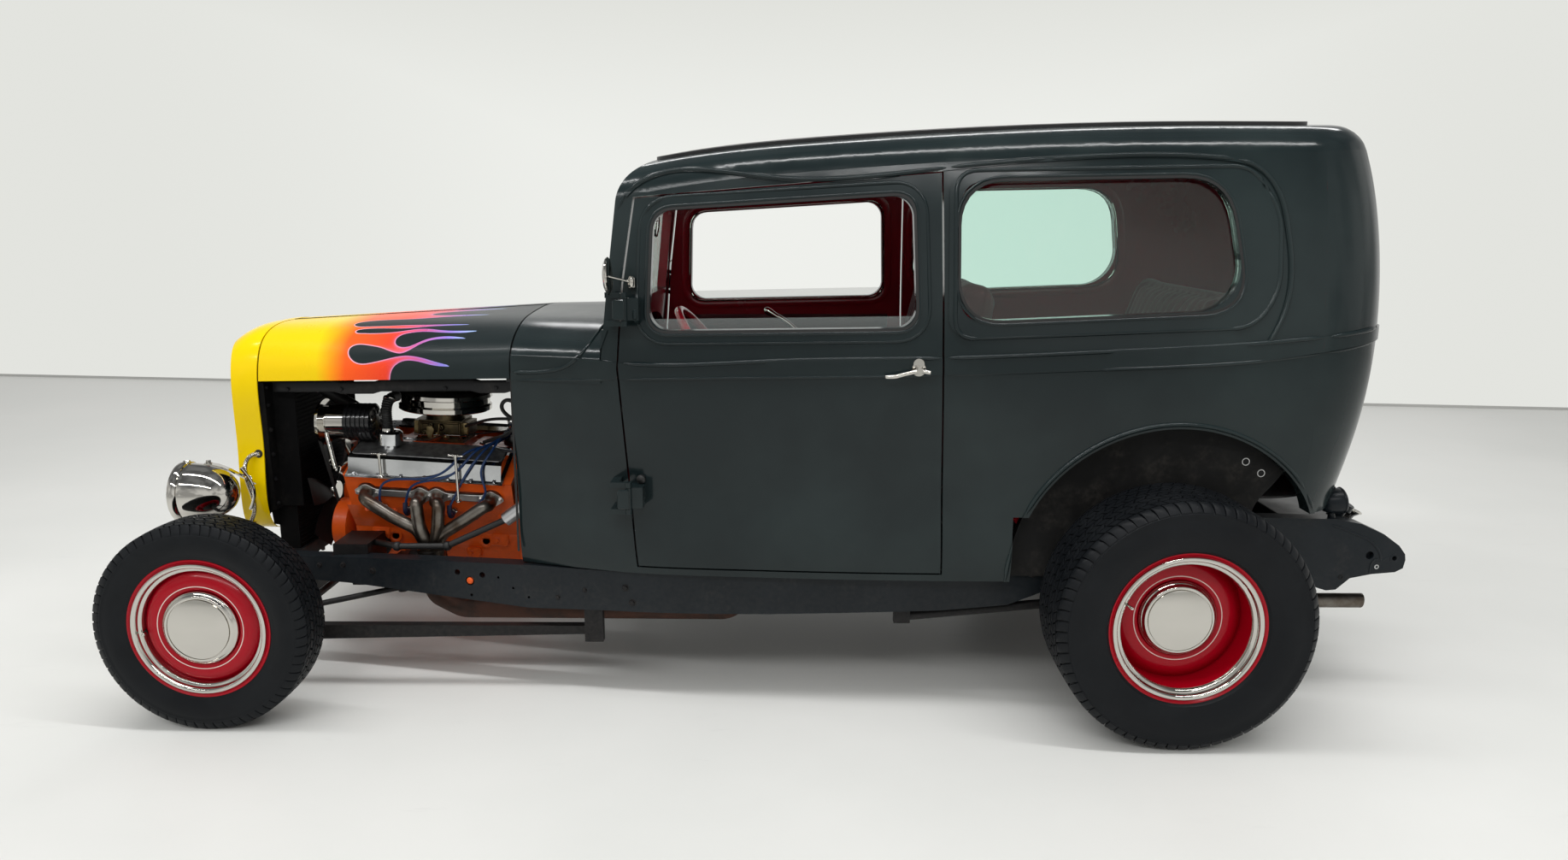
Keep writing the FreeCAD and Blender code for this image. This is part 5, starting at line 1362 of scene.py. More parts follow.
def make_hoses_and_lines():
    """The radiator hoses, the coolant hoses to the cowl and the fuel line."""
    lines = Piece("hose_rubber", "chrome", "steel_line")
    upper = path(
        1, (0.350, -0.236, 0.745), (0.350, -0.234, 0.780), (0.347, -0.226, 0.820),
        (0.350, -0.205, 0.848), (0.366, -0.170, 0.856),
    )
    hose(lines, upper, 0.0175, 0, 90, 16, ribs=22, depth=0.16)
    for y, z, way in ((-0.2355, 0.757, (0.02, 0.1, 1)), (-0.203, 0.850, (0.02, 0.8, 1))):
        lines.turn(CLAMP, 24, facing(at(0.350, y, z), way), 1, close=True)
    nose = [on_engine(-0.245, -0.045, 0.320), on_engine(-0.300, -0.060, 0.420)]
    nose += path(1, (0.105, -0.100, 0.860), (0.030, -0.120, 0.935), (-0.010, -0.120, 0.952))
    hose(lines, nose, 0.022, 0, 30, 16)
    looped = path(
        1, (0.630, -0.150, 0.700), (0.690, -0.200, 0.725), (0.752, -0.262, 0.760),
        (0.790, -0.300, 0.840), (0.760, -0.320, 0.868), (0.735, -0.300, 0.842),
        (0.770, -0.285, 0.800), (0.815, -0.290, 0.790),
    )
    hose(lines, looped, 0.0062, 0, 60, 10)
    high = path(
        1, (0.560, -0.110, 0.745), (0.640, -0.180, 0.776), (0.730, -0.270, 0.800),
        (0.815, -0.315, 0.806),
    )
    hose(lines, high, 0.005, 0, 40, 10)
    fuel = path(
        1, (0.480, -0.082, 0.715), (0.440, -0.150, 0.705), (0.405, -0.180, 0.716),
        (0.300, -0.165, 0.700), (0.235, -0.140, 0.640),
    )
    hose(lines, fuel, 0.0042, 2, 40, 10)
    low = path(1, (0.610, -0.120, 0.690), (0.700, -0.215, 0.690), (0.815, -0.330, 0.705))
    hose(lines, low, 0.0048, 2, 30, 10)
    lines.make("hoses_and_lines", "chassis", "chassis_black")


PLUG_BOSS = mm((0, 0), (12, 0), (16.5, 3.2), (21, 3.2), (22.5, 1.5), (22.5, -6), (0, -6))
PUMP = mm((0, 0), (30, 0), (36, 10), (36, 24), (42, 28), (42, 38), (26, 52), (0, 56))
FILTER = mm((0, 0), (31, 0), (38, 12), (39, 100), (33, 109), (0, 111))
DRUM = mm(
    (0, -30), (74, -30), (82, -26), (84, 16), (78, 20), (70, 14), (30, 10), (26, 20), (0, 21)
)


def make_block_bolts():
    """Head bolts, pan bolts and side bosses on the block, with the fuel pump and oil filter."""
    random.seed(7)
    piece = Piece("engine_orange")
    for side in (-1, 1):
        for count, start, step, out, up, way, size in (
            (5, -0.235, 0.1175, 0.292, 0.2605, (0, side * 0.45, 0.9), 0.013),
            (6, -0.215, 0.086, 0.226, 0.1395, (0, side * 0.8, 0.6), 0.013),
            (9, -0.250, 0.0625, 0.1245, -0.066, (0, side, -0.05), 0.009),
        ):
            for k in range(count):
                spot = on_engine(start + step * k, side * out, up)
                add_bolt(piece, spot, on_level(*way), size)
        for along, up, wide in (
            (-0.196, 0.040, 0.030), (0.196, 0.040, 0.030), (0.110, -0.010, 0.024),
            (-0.110, -0.012, 0.024),
        ):
            boss = slab(corners(wide, wide * 0.7, 0.006), -0.030, 0.012, 0.004)
            piece.add(boss, engine_spot(along, side * 0.158, up, (0, side, 0.12)))
            spot = on_engine(along - 0.008, side * 0.171, up)
            add_bolt(piece, spot, on_level(0, side, 0.1), 0.014)
        for along in (-0.150, 0.0, 0.150):
            piece.turn(PLUG_BOSS, 24, engine_spot(along, side * 0.160, 0.032, (0, side, 0)))
    pump = Piece("chassis_black")
    pump.turn(PUMP, 28, engine_spot(-0.205, -0.135, -0.002, (0, -1, 0)))
    pump.turn(FILTER, 28, engine_spot(-0.085, -0.200, -0.030, (1, 0, 0.05)))
    pump.make("pump_and_filter", "chassis", "chassis_black")
    piece.make("block_bolts", "chassis", "engine_orange")


def make_mount_drum():
    """The orange drum low on the engine's front corner."""
    piece = Piece("engine_orange")
    piece.turn(DRUM, 40, engine_spot(-0.330, -0.112, 0.052, (-1, 0, 0)))
    piece.make("mount_drum", "chassis", "engine_orange")


make_cover_fittings()
make_header_flanges()
make_plugs_and_leads()
make_fan_and_belt()
make_alternator_fins()
make_carburettor_fittings()
make_hoses_and_lines()
make_block_bolts()
make_mount_drum()


# Cabin: padded seats, garnish trims, dials, mirror and shift lever
PAD_CELLS = 0.009
PAD_VOXEL = 0.0095
PAD_PRESSURE = 4.0
PAD_FRAMES = 20
PAD_CAP = 0.020
SEAM_DEPTH, SEAM_WIDTH = 0.012, 0.009
CHANNEL_WIDTH = 0.010


def rounded_block(size, radius, cells):
    """A block whose edges and corners are rounded, as an even mesh about its middle."""
    counts = [max(4, int(s / cells)) for s in size]
    verts = {}
    faces = []
    points = []

    def point(key):
        if key not in verts:
            p = Vector([k / n - 0.5 for k, n in zip(key, counts)])
            p = Vector([v * s for v, s in zip(p, size)])
            half = [s / 2 - radius for s in size]
            core = Vector([max(-h, min(h, v)) for v, h in zip(p, half)])
            off = p - core
            if off.length > 1e-9:
                off = off.normalized() * radius
            verts[key] = len(points)
            points.append(core + off)
        return verts[key]

    for axis in range(3):
        a, b = [k for k in range(3) if k != axis]
        for end in (0, counts[axis]):
            for i in range(counts[a]):
                for j in range(counts[b]):
                    keys = []
                    for di, dj in ((0, 0), (1, 0), (1, 1), (0, 1)):
                        key = [0, 0, 0]
                        key[axis], key[a], key[b] = end, i + di, j + dj
                        keys.append(point(tuple(key)))
                    faces.append(tuple(keys))
    return points, faces


def swell(obj):
    """Inflates a cushion as sewn cloth, then keeps each point within a cap of where it began."""
    for other in bpy.context.selected_objects:
        other.select_set(False)
    bpy.context.view_layer.objects.active = obj
    remesh = obj.modifiers.new("even", "REMESH")
    remesh.mode = "VOXEL"
    remesh.voxel_size = PAD_VOXEL
    remesh.use_smooth_shade = True
    bake(obj)
    before = [v.co.copy() for v in obj.data.vertices]
    cloth = obj.modifiers.new("cloth", "CLOTH")
    cloth.settings.use_pressure = True
    cloth.settings.uniform_pressure_force = PAD_PRESSURE
    cloth.settings.effector_weights.gravity = 0
    cloth.settings.quality = 4
    cloth.point_cache.frame_end = PAD_FRAMES
    scene = bpy.context.scene
    for n in range(1, PAD_FRAMES + 1):
        scene.frame_set(n)
    bake(obj)
    scene.frame_set(1)
    for v, start in zip(obj.data.vertices, before):
        off = v.co - start
        if off.length > PAD_CAP:
            v.co = start + off.normalized() * PAD_CAP


def bake(obj):
    """Turns a piece's modifiers into plain mesh."""
    view = bpy.context.evaluated_depsgraph_get()
    mesh = bpy.data.meshes.new_from_object(obj.evaluated_get(view))
    cover = obj.data.materials[0]
    obj.modifiers.clear()
    mesh.materials.clear()
    mesh.materials.append(cover)
    obj.data = mesh


def sew(pad, size, channels, groove):
    """Presses the channels' lines and the seam round the edge into a cushion's top."""
    edge, far = 0.78 * size[1] / 2, 0.80 * size[0] / 2
    step = 2 * edge / channels
    for v in pad.data.vertices:
        if v.co.z <= 0.0:
            continue
        u, w = v.co.y, v.co.x
        if abs(u) < edge and abs(w) < far:
            near = abs((u + edge) / step - round((u + edge) / step)) * step
            v.co.z -= groove * math.exp(-((near / CHANNEL_WIDTH) ** 2))
        beside = abs(abs(u) - edge) if abs(w) < far else 1
        behind = abs(abs(w) - far) if abs(u) < edge else 1
        v.co.z -= SEAM_DEPTH * math.exp(-((min(beside, behind) / SEAM_WIDTH) ** 2))


def make_pad(name, middle, size, lean, channels, replaces=(), groove=0.011):
    """A padded seat part: rounded, crowned, swelled as cloth, then sewn into channels."""
    points, faces = rounded_block(size, min(size) * 0.36, PAD_CELLS)
    for p in points:
        if p.z > 0:
            bow = (1 - (2 * p.x / size[0]) ** 2) * (1 - (2 * p.y / size[1]) ** 2)
            p.z += 0.02 * max(bow, 0)
    piece = Piece("maroon_fabric")
    piece.add((points, faces))
    made = piece.make(name, "chassis", "maroon_fabric", replaces)
    swell(made)
    sew(made, size, channels, groove)
    made.data.transform(Matrix.Translation(at(*middle)) @ Matrix.Rotation(lean, 4, "Y"))
    made.data.shade_smooth()


SEAT_Y = 0.29


def make_seats():
    """Cushions and backs of the front seats and the rear bench, and the front seats' frames."""
    for side, word in SIDES:
        made = ("seat_front",) if side < 0 else ()
        make_pad(
            "front_cushion_" + word, (1.795, side * SEAT_Y, 0.542), (0.440, 0.445, 0.118), 0.0, 7,
            made,
        )
        make_pad(
            "front_back_" + word, (2.106, side * SEAT_Y, 0.957), (0.600, 0.445, 0.092),
            math.radians(-78), 7,
        )
    make_pad(
        "rear_cushion", (2.614, 0, 0.716), (0.400, 0.900, 0.118), 0.0, 13, ("seat_rear",)
    )
    make_pad(
        "rear_back", (2.890, 0, 1.010), (0.430, 0.900, 0.088), math.radians(-72), 13, groove=0.005
    )
    base = Piece("maroon_paint", "chassis_black")
    for side in (-1, 1):
        pan = slab(corners(0.215, 0.212, 0.05), 0.4655, 0.486, 0.006)
        base.add(pan, Matrix.Translation(at(1.795, side * SEAT_Y, 0)))
        for dy in (-0.15, 0.15):
            runner = slab(corners(0.2, 0.016, 0.004), 0.406, 0.4655, 0.003)
            base.add(runner, Matrix.Translation(at(1.80, side * SEAT_Y + dy, 0)), 1)
    base.make("seat_frames", "chassis", "chassis_black")


def closed_line(points, radius, steps=7):
    """A closed run of (x, z) points round a shape, its corners rounded."""
    out = []
    n = len(points)
    for i, p in enumerate(points):
        p = Vector(p)
        a = Vector(points[i - 1])
        b = Vector(points[(i + 1) % n])
        start = p + (a - p).normalized() * radius
        end = p + (b - p).normalized() * radius
        for k in range(steps + 1):
            t = k / steps
            out.append((start * (1 - t) + p * t) * (1 - t) + (p * (1 - t) + end * t) * t)
    return out


def filled_line(points, step):
    """The same closed run with points no further apart than a step."""
    out = []
    for i, p in enumerate(points):
        q = points[(i + 1) % len(points)]
        count = max(1, int((q - p).length / step))
        out += [p + (q - p) * (k / count) for k in range(count)]
    return out


def grown(points, by):
    """A closed run of points moved outward by a distance."""
    middle = sum(points, Vector((0, 0))) / len(points)
    out = []
    n = len(points)
    for i, p in enumerate(points):
        way = (points[(i + 1) % n] - points[i - 1]).normalized()
        across = Vector((way.y, -way.x))
        if across.dot(p - middle) < 0:
            across = -across
        out.append(p + across * by)
    return out


def trim_round(piece, name, line, side, inside, section, lift, kind=0):
    """A bead carried round a closed line on a side panel's face."""
    rings = []
    n = len(line)
    last = None
    for i, p in enumerate(line):
        point, way = wall(name, p.x, p.y, side, inside)
        if point is None or (last is not None and (point - last[0]).length > 0.12):
            if last is None:
                continue
            point, way = Vector((p.x + AXLE_X, last[0].y, p.y)), last[1]
        last = (point, way)
        run = line[(i + 1) % n] - line[i - 1]
        along = Vector((run.x, 0, run.y)).normalized()
        across = way.cross(along).normalized()
        rings.append([point + way * (lift + b) + across * a for a, b in section])
    piece.add(lofted(rings, close=True), None, kind)


# Each side window's corners and how far they are rounded
WINDOWS = {
    "door": (mm((1240, 1113), (1253, 1436), (1960, 1481), (1973, 1128)), 0.055),
    "quarter": (mm((2090, 1144), (2090, 1515), (2812, 1530), (2868, 1178)), 0.12),
}
BEAD_SECTION = mm((-4, -1), (-3, 3), (0, 4.2), (3, 3), (4, -1))
FLAT_SECTION = mm((-13, -1), (-12, 3.5), (-6, 5.5), (6, 5.5), (12, 3.5), (13, -1))
SEAL_SECTION = mm((-4.5, -4), (-4, 0.8), (3, 1.2), (4.5, -1))


def window_line(window, step, by):
    """A side window's outline, grown by a margin."""
    return grown(filled_line(closed_line(*WINDOWS[window]), step), by)


def make_garnish():
    """Maroon window frames inside, each with a fine bright bead."""

    def add_frame(frames, panel, window, side):
        for by, section, lift, kind in (
            (0.024, FLAT_SECTION, 0.0, 0), (0.0055, BEAD_SECTION, 0.001, 1),
        ):
            line = window_line(window, 0.05, by)
            trim_round(frames, panel, line, side, True, section, lift, kind)

    for side, word in SIDES:
        frames = Piece("maroon_paint", "chrome")
        add_frame(frames, "door_" + word, "door", side)
        frames.make("door_garnish_" + word, "door_" + word, "maroon_paint")
    frames = Piece("maroon_paint", "chrome")
    for side in (-1, 1):
        add_frame(frames, "quarter_panels", "quarter", side)
    frames.make("quarter_garnish", "chassis", "maroon_paint")


def make_window_seals():
    """Black rubber let into the outer edge of each side window."""
    for side, word in SIDES:
        seal = Piece("seal_rubber")
        line = window_line("door", 0.04, 0.0045)
        trim_round(seal, "door_" + word, line, side, False, SEAL_SECTION, 0.0)
        seal.make("door_window_seal_" + word, "door_" + word)
    seal = Piece("seal_rubber")
    for side in (-1, 1):
        line = window_line("quarter", 0.04, 0.0045)
        trim_round(seal, "quarter_panels", line, side, False, SEAL_SECTION, 0.0)
    seal.make("quarter_window_seals", "chassis")


INSIDE_MIRROR = mm(
    (0, -4), (20, -3), (36, 4), (37.5, 10), (35.5, 12.5), (33.5, 10), (0, 9.5)
)
SHIFT_KNOB = mm((0, -30), (8.5, -30), (10.5, -10), (12.5, 6), (11.5, 18), (6, 24), (0, 25))
SHIFT_BOOT = mm(
    (0, 0), (62, 0), (58, 10), (44, 16), (46, 22), (32, 30), (33, 36), (16, 46), (0, 47)
)
CRANK_FOOT = mm((0, 0), (20, 0), (19, 6), (10, 8), (10, 20), (0, 21))
CRANK_KNOB = mm((0, -12), (10, -11), (13, 0), (10, 16), (0, 18))
CARD_ROWS, CARD_COLUMNS = 15, 11


def make_cabin_fittings():
    """Dials, the inside mirror, and the shift lever with its knob and boot."""
    piece = Piece("chrome", "cream_dial", "gloss_black")
    for y, r in ((-0.44, 0.040), (-0.35, 0.052), (-0.25, 0.040), (-0.16, 0.030), (0.20, 0.052)):
        spot = facing(at(1.1165, y, 0.995), (1, 0, 0))
        rim = [(r, -0.004), (r + 0.006, -0.004), (r + 0.006, 0.006), (r + 0.002, 0.009)]
        rim += [(r - 0.002, 0.006), (r - 0.003, 0.002)]
        piece.turn(rim, 36, spot, close=True)
        piece.turn([(0, 0.001), (r, 0.001), (r, 0.003), (0, 0.003)], 36, spot, 1)
        hand = [(-0.0012, -0.004), (0.0012, -0.004), (0.0006, r * 0.8), (-0.0006, r * 0.8)]
        piece.add(slab(hand, 0.0034, 0.0044), spot @ Matrix.Rotation(0.8 + y * 5, 4, "Z"), 2)
    bar(piece, at(1.176, 0, 1.462), at(1.188, 0, 1.405), 0.0055)
    piece.turn(INSIDE_MIRROR, 36, facing(at(1.180, 0, 1.394), (1, 0, -0.12)))
    lever = path(
        1, (1.640, 0, 0.446), (1.672, 0, 0.70), (1.690, 0, 0.930), (1.640, 0, 1.058),
        (1.556, 0, 1.114),
    )
    hose(piece, lever, 0.008, 0, 40, 12)
    piece.turn(SHIFT_KNOB, 24, facing(at(1.560, 0, 1.111), (-0.85, 0, 0.53)))
    piece.turn(SHIFT_BOOT, 28, facing(at(1.638, 0, 0.443), (0.1, 0, 1)), 2)
    piece.make("cabin_fittings", "chassis", "chrome")


def make_door_insides():
    """Each door's window crank, and its cloth card laid over the inner face."""
    for side, word in SIDES:
        panel = "door_" + word
        crank = Piece("chrome")
        point, way = wall(panel, 1.62, 0.98, side, True)
        reach = Vector((0.085, 0, -0.045))
        crank.turn(CRANK_FOOT, 24, facing(point, way))
        bar(crank, point + way * 0.018, point + way * 0.024 + reach, 0.005)
        crank.turn(CRANK_KNOB, 16, facing(point + way * 0.026 + reach, way))
        crank.make("window_crank_" + word, panel, "chrome")
        rows = []
        for i in range(CARD_ROWS):
            hits = [
                wall(panel, 1.225 + 0.055 * i, 0.475 + 0.058 * j, side, True)
                for j in range(CARD_COLUMNS)
            ]
            if any(point is None for point, way in hits):
                continue
            last = (CARD_ROWS - 1, CARD_COLUMNS - 1)
            rows.append([
                point + way * (0.0006 + 0.009 * (0 < i < last[0] and 0 < j < last[1]))
                for j, (point, way) in enumerate(hits)
            ])
        if len(rows) > 3:
            card = Piece("maroon_fabric")
            card.add(lofted(rows, loop=False, caps=False))
            card.make("door_card_" + word, panel, "maroon_fabric", sharp=60, thickness=0.001)


make_seats()
make_garnish()
make_window_seals()
make_cabin_fittings()
make_door_insides()


# Beads along the pressed mouldings, hinges, door mirrors, ledges, and the painted shade strips in
# the cowl's front gaps
SUNK = 0.0004


def run_bead(piece, name, line, side, section):
    """A bead along an open line of (x, z) from the front axle, wherever it meets the panel."""
    run = []
    runs = [run]
    for i, p in enumerate(line):
        point, way = wall(name, p[0], p[1], side)
        if point is None:
            run = []
            runs.append(run)
            continue
        ahead = line[min(i + 1, len(line) - 1)] - line[max(i - 1, 0)]
        along = Vector((ahead[0], 0, ahead[1])).normalized()
        run.append((point, way, along))
    for run in runs:
        if len(run) < 3:
            continue
        ways = [way for point, way, along in run]
        rings = []
        for i, (point, way, along) in enumerate(run):
            soft = sum(ways[max(0, i - 2):i + 3], Vector((0, 0, 0))).normalized()
            across = soft.cross(along).normalized()
            taper = min(1.0, (i + 0.4) / 2.0, (len(run) - 1 - i + 0.4) / 2.0)
            rings.append([
                point + across * (a * taper) + soft * (b * taper - SUNK) for a, b in section
            ])
        piece.add(lofted(rings))


MOULDING = mm(
    (-6.8, -3), (-5.6, 1.6), (-2.6, 4.4), (0, 5), (2.6, 4.4), (5.6, 1.6), (6.8, -3)
)
FINE_MOULDING = mm(
    (-4.8, -3), (-4, 1.2), (-1.8, 3), (0, 3.4), (1.8, 3), (4, 1.2), (4.8, -3)
)
BELT_LOW = mm(
    (700, 955), (941, 964), (1141, 975), (1573, 989), (2045, 1000), (2505, 1017), (2922, 1040),
    (3267, 1088),
)
BELT_HIGH = mm(
    (1100, 1026), (1153, 1022), (1573, 1034), (2045, 1047), (2505, 1066), (2906, 1088),
    (3267, 1124),
)
COWL_SWEEP = mm((832, 981), (942, 990), (1009, 1014), (1050, 1056), (1082, 1112), (1098, 1160))
DRIP = mm(
    (1150, 1440), (1173, 1480), (1211, 1513), (1571, 1528), (2039, 1552), (2421, 1584),
    (2787, 1584), (2904, 1552), (2950, 1495), (2977, 1393), (2987, 1249), (2969, 1163),
    (2930, 1083),
)
QUARTER_RING = mm(
    (2076, 1098), (2076, 1545), (2880, 1562), (2957, 1440), (2957, 1225), (2890, 1130)
)
ARCH_STEPS = 90


def on_arch(radius, angle):
    """A point (x, z) round the rear wheel's opening."""
    return 2.710 + radius * math.cos(angle), 0.400 + radius * math.sin(angle)


def add_mouldings(piece, panel, side, window=None, ring=None):
    """Every bead that meets a panel on one side, and the rings round its window."""
    run_bead(piece, panel, smooth_line(BELT_LOW, 150), side, FINE_MOULDING)
    run_bead(piece, panel, smooth_line(BELT_HIGH, 130), side, MOULDING)
    run_bead(piece, panel, smooth_line(DRIP, 190), side, MOULDING)
    if panel == "cowl":
        run_bead(piece, panel, smooth_line(COWL_SWEEP, 50), side, MOULDING)
    if window:
        trim_round(piece, panel, ring, side, False, MOULDING, -SUNK)
        line = window_line(window, 0.04, 0.012)
        trim_round(piece, panel, line, side, False, FINE_MOULDING, -SUNK)
    if panel in ("quarter_panels", "rear_panel"):
        angles = [math.pi * k / ARCH_STEPS for k in range(ARCH_STEPS + 1)]
        lip = [Vector(on_arch(0.462, a)) for a in angles]
        run_bead(piece, panel, lip, side, MOULDING)


def make_mouldings():
    """The beads of each body panel that they meet, as one piece per panel."""
    quarter_ring = filled_line(closed_line(QUARTER_RING, 0.060), 0.04)
    for panel, window, ring in (
        ("cowl", None, None), ("door_left", "door", window_line("door", 0.04, 0.036)),
        ("door_right", "door", window_line("door", 0.04, 0.036)),
        ("quarter_panels", "quarter", quarter_ring), ("rear_panel", None, None),
        ("roof", None, None),
    ):
        door = panel.startswith("door_")
        piece = Piece("body_paint")
        for side, word in SIDES:
            if not door or panel.endswith(word):
                add_mouldings(piece, panel, side, window, ring)
        if piece.verts:
            piece.make("mouldings_" + panel, panel if door else "chassis", "body_paint")


HINGE_PLATES = ((1.165, 1.174), (1.165, 0.645))
MIRROR = (1.138, 0.660, 1.264)
DOOR_STOP = mm((0, -1), (11, -1), (13, 4), (12.5, 11), (8, 15), (0, 16))
MIRROR_CLAMP = mm((0, -12), (7, -12), (9, -6), (9, 6), (7, 12), (0, 12))
DOOR_MIRROR = mm(
    (0, -12), (20, -11), (40, -7), (50, -1), (51.5, 3), (49, 5.5), (46, 3.5), (0, 3)
)


def make_hinges():
    """Hinge plates on the cowl, and each door's rubber stop and clamped round mirror."""
    for side, word in SIDES:
        panel = "door_" + word
        plates = Piece("body_paint")
        for x, z in HINGE_PLATES:
            spot = facing(at(x, side * 0.6605, z), (0, side, 0))
            plates.add(slab(corners(0.0165, 0.0275, 0.004), -0.003, 0.005, 0.002), spot)
            lug = Matrix.Translation(at(x - 0.012, side * 0.641, z))
            plates.add(brick(0.008, 0.046, 0.030, 0.002), lug)
        plates.make("hinge_plates_" + word, "chassis", "body_paint")
        bumper = Piece("hose_rubber")
        point, way = wall(panel, 1.208, 0.689, side)
        bumper.turn(DOOR_STOP, 24, facing(point, way))
        bumper.make("door_stop_" + word, panel)
        clamp = Piece("chrome")
        point, way = wall(panel, 1.196, 1.243, side)
        clamp.add(brick(0.016, 0.020, 0.034, 0.004), Matrix.Translation(point + way * 0.008))
        clamp.turn(MIRROR_CLAMP, 16, facing(point + way * 0.017, (0, 0, 1)))
        for dz in (-0.012, 0.012):
            spot = point + way * 0.018 + Vector((0, 0, dz))
            add_bolt(clamp, spot, way, 0.008, washer=False)
        head = at(MIRROR[0], side * MIRROR[1], MIRROR[2])
        bar(clamp, point + way * 0.016, head, 0.0034)
        clamp.turn(DOOR_MIRROR, 48, facing(head, (1, 0, 0.04)))
        clamp.make("door_mirror_" + word, panel, "chrome")


# The hood's lower edge, as the (height, half width) of its front and its rear end
HOOD_EDGE = ((0.918, 0.260), (0.962, 0.484))
LEDGE_X0, LEDGE_X1 = 0.0065, 0.8225
LEDGE_STEPS = 30
LEDGE_SECTION = mm((2, 40), (0, 36), (0, 9), (3, 4), (22, 4), (22, 8), (5, 9), (6, 40))
COWL_ARCH = mm(
    (497.5, 952), (493.5, 975), (484, 1027), (452, 1056), (407, 1081), (300, 1109), (197, 1121),
    (0, 1129),
)


def hood_edge(t):
    """Height and half width of the hood's lower edge at a share of its length."""
    return [a + (b - a) * t for a, b in zip(*HOOD_EDGE)]


def make_hood_ledges():
    """The bars under the hood's lower edges, lower where the headers pass, and the hinge pin."""
    piece = Piece("chassis_black")
    for side in (-1, 1):
        rows = []
        for k in range(LEDGE_STEPS + 1):
            t = k / LEDGE_STEPS
            x = LEDGE_X0 + (LEDGE_X1 - LEDGE_X0) * t
            edge, y = hood_edge(t)
            top = edge - (0.006 if 0.235 < x < 0.385 or 0.70 < x < 0.80 else -0.001)
            rows.append([at(x, side * (y - a), top - b) for a, b in LEDGE_SECTION])
        piece.add(lofted(rows))
        for k in (2, 9, 22, 28):
            t = k / LEDGE_STEPS
            edge, y = hood_edge(t)
            spot = at(LEDGE_X0 + (LEDGE_X1 - LEDGE_X0) * t, side * y, edge - 0.030)
            add_bolt(piece, spot, (0, side, 0), 0.010)
    bar(piece, at(-0.0267, 0, 1.082), at(0.8227, 0, 1.134), 0.004)
    piece.make("hood_ledges", "chassis", "chassis_black", ("hood_supports",))


# Painted shade strip in the gap under the hood's rear edge: x from the axle, and depth below the
# cowl's arch
GAP_SHADE_DEPTHS = ((0.8225, -0.0085), (0.8225, -0.0035), (0.806, -0.0035), (0.806, -0.0085))


def make_cowl_gap_shade():
    """Black strips just inside the cowl's front edge, along its arch and upright down each side:
    painted shade for the gaps there, below the hood's rear edge.
    """
    # Painted shade: black strips that darken the gaps at the cowl's front edge
    seal = Piece("seal_rubber")
    half = smooth_line(COWL_ARCH, 40)
    whole = [(p.x, p.y) for p in half] + [(-p.x, p.y) for p in half[-2::-1]]
    rows = []
    for i, (y, z) in enumerate(whole):
        way = Vector(whole[min(i + 1, len(whole) - 1)]) - Vector(whole[max(i - 1, 0)])
        way.normalize()
        out = Vector((-way.y, way.x))
        if out.dot(Vector((y, z - 0.9))) < 0:
            out = -out
        rows.append([at(x, y + out.x * d, z + out.y * d) for x, d in GAP_SHADE_DEPTHS])
    seal.add(lofted(rows))
    upright = Matrix(((1, 0, 0), (0, 0, 1), (0, 1, 0))).to_4x4()
    for side in (-1, 1):
        strip = slab(mm((0, 440), (6, 440), (6, 955), (0, 955)), -0.002, 0.002)
        seal.add(strip, Matrix.Translation(at(0.8165, side * 0.492, 0)) @ upright)
    seal.make("cowl_gap_shade", "chassis")


RADIATOR_SIDE = mm(
    (196, 428), (262, 452), (272, 500), (281, 700), (283.8, 910), (270, 910), (262, 700),
    (226, 520), (196, 500),
)


def make_radiator():
    """The radiator's side plates with their bolts, and the fins of its core."""
    plates = Piece("radiator_black", "chassis_black")
    for side in (-1, 1):
        turn = Matrix(((0, 0, 1), (side, 0, 0), (0, 1, 0))).to_4x4()
        outer = slab(RADIATOR_SIDE, 0.0, 0.003, 0.0008)
        plates.add(outer, Matrix.Translation(at(-0.0262, 0, 0)) @ turn)
        flange = slab(mm((226, 505), (232, 505), (232, 995), (226, 995)), 0.0, 0.080, 0.0012)
        plates.add(flange, Matrix.Translation(at(-0.020, 0, 0)) @ turn)
        for z in (0.520, 0.600, 0.680, 0.760, 0.840, 0.895):
            spot = at(-0.0098, side * (0.258 + 0.03 * (z - 0.52)), z)
            add_bolt(plates, spot, (1, 0, 0), 0.010, 1)
    plates.make("radiator_plates", "chassis", "radiator_black")
    core = Piece("radiator_black")
    for n in range(46):
        spot = at(0.0375, 0, 0.375 + 0.0134 * n)
        core.add(brick(0.004, 0.440, 0.0022, 0.0006), Matrix.Translation(spot))
    core.make("radiator_fins", "chassis", "radiator_black")


make_mouldings()
make_hinges()
make_hood_ledges()
make_cowl_gap_shade()
make_radiator()


# Headlamps, their stays and conduits, tail lamps and fuel filler
LAMP_R = 0.089
LAMP_Y, LAMP_Z = 0.42, 0.596
LAMP_BOWL = (
    (0.985, 0.045), (0.955, 0.064), (0.90, 0.083), (0.81, 0.102), (0.68, 0.120), (0.52, 0.134),
    (0.33, 0.144), (0.15, 0.149), (0, 0.150),
)
LAMP_RIM = mm(
    (-10, -12), (-4, -16.5), (3.5, -15), (6.5, -8), (6.5, 4), (3.5, 9.5), (1, 10), (-4, 2),
    (-10, 0),
)
STAY_FOOT = mm((0, 0), (21, 0), (20, 6), (12, 14), (11, 24), (0, 26))
STAY_NUT = mm((0, 0), (16, 0), (16, 11), (0, 12))
FLEX_COLLAR = mm((7, -4), (14, -4), (14.5, 0), (13, 4), (7, 5))


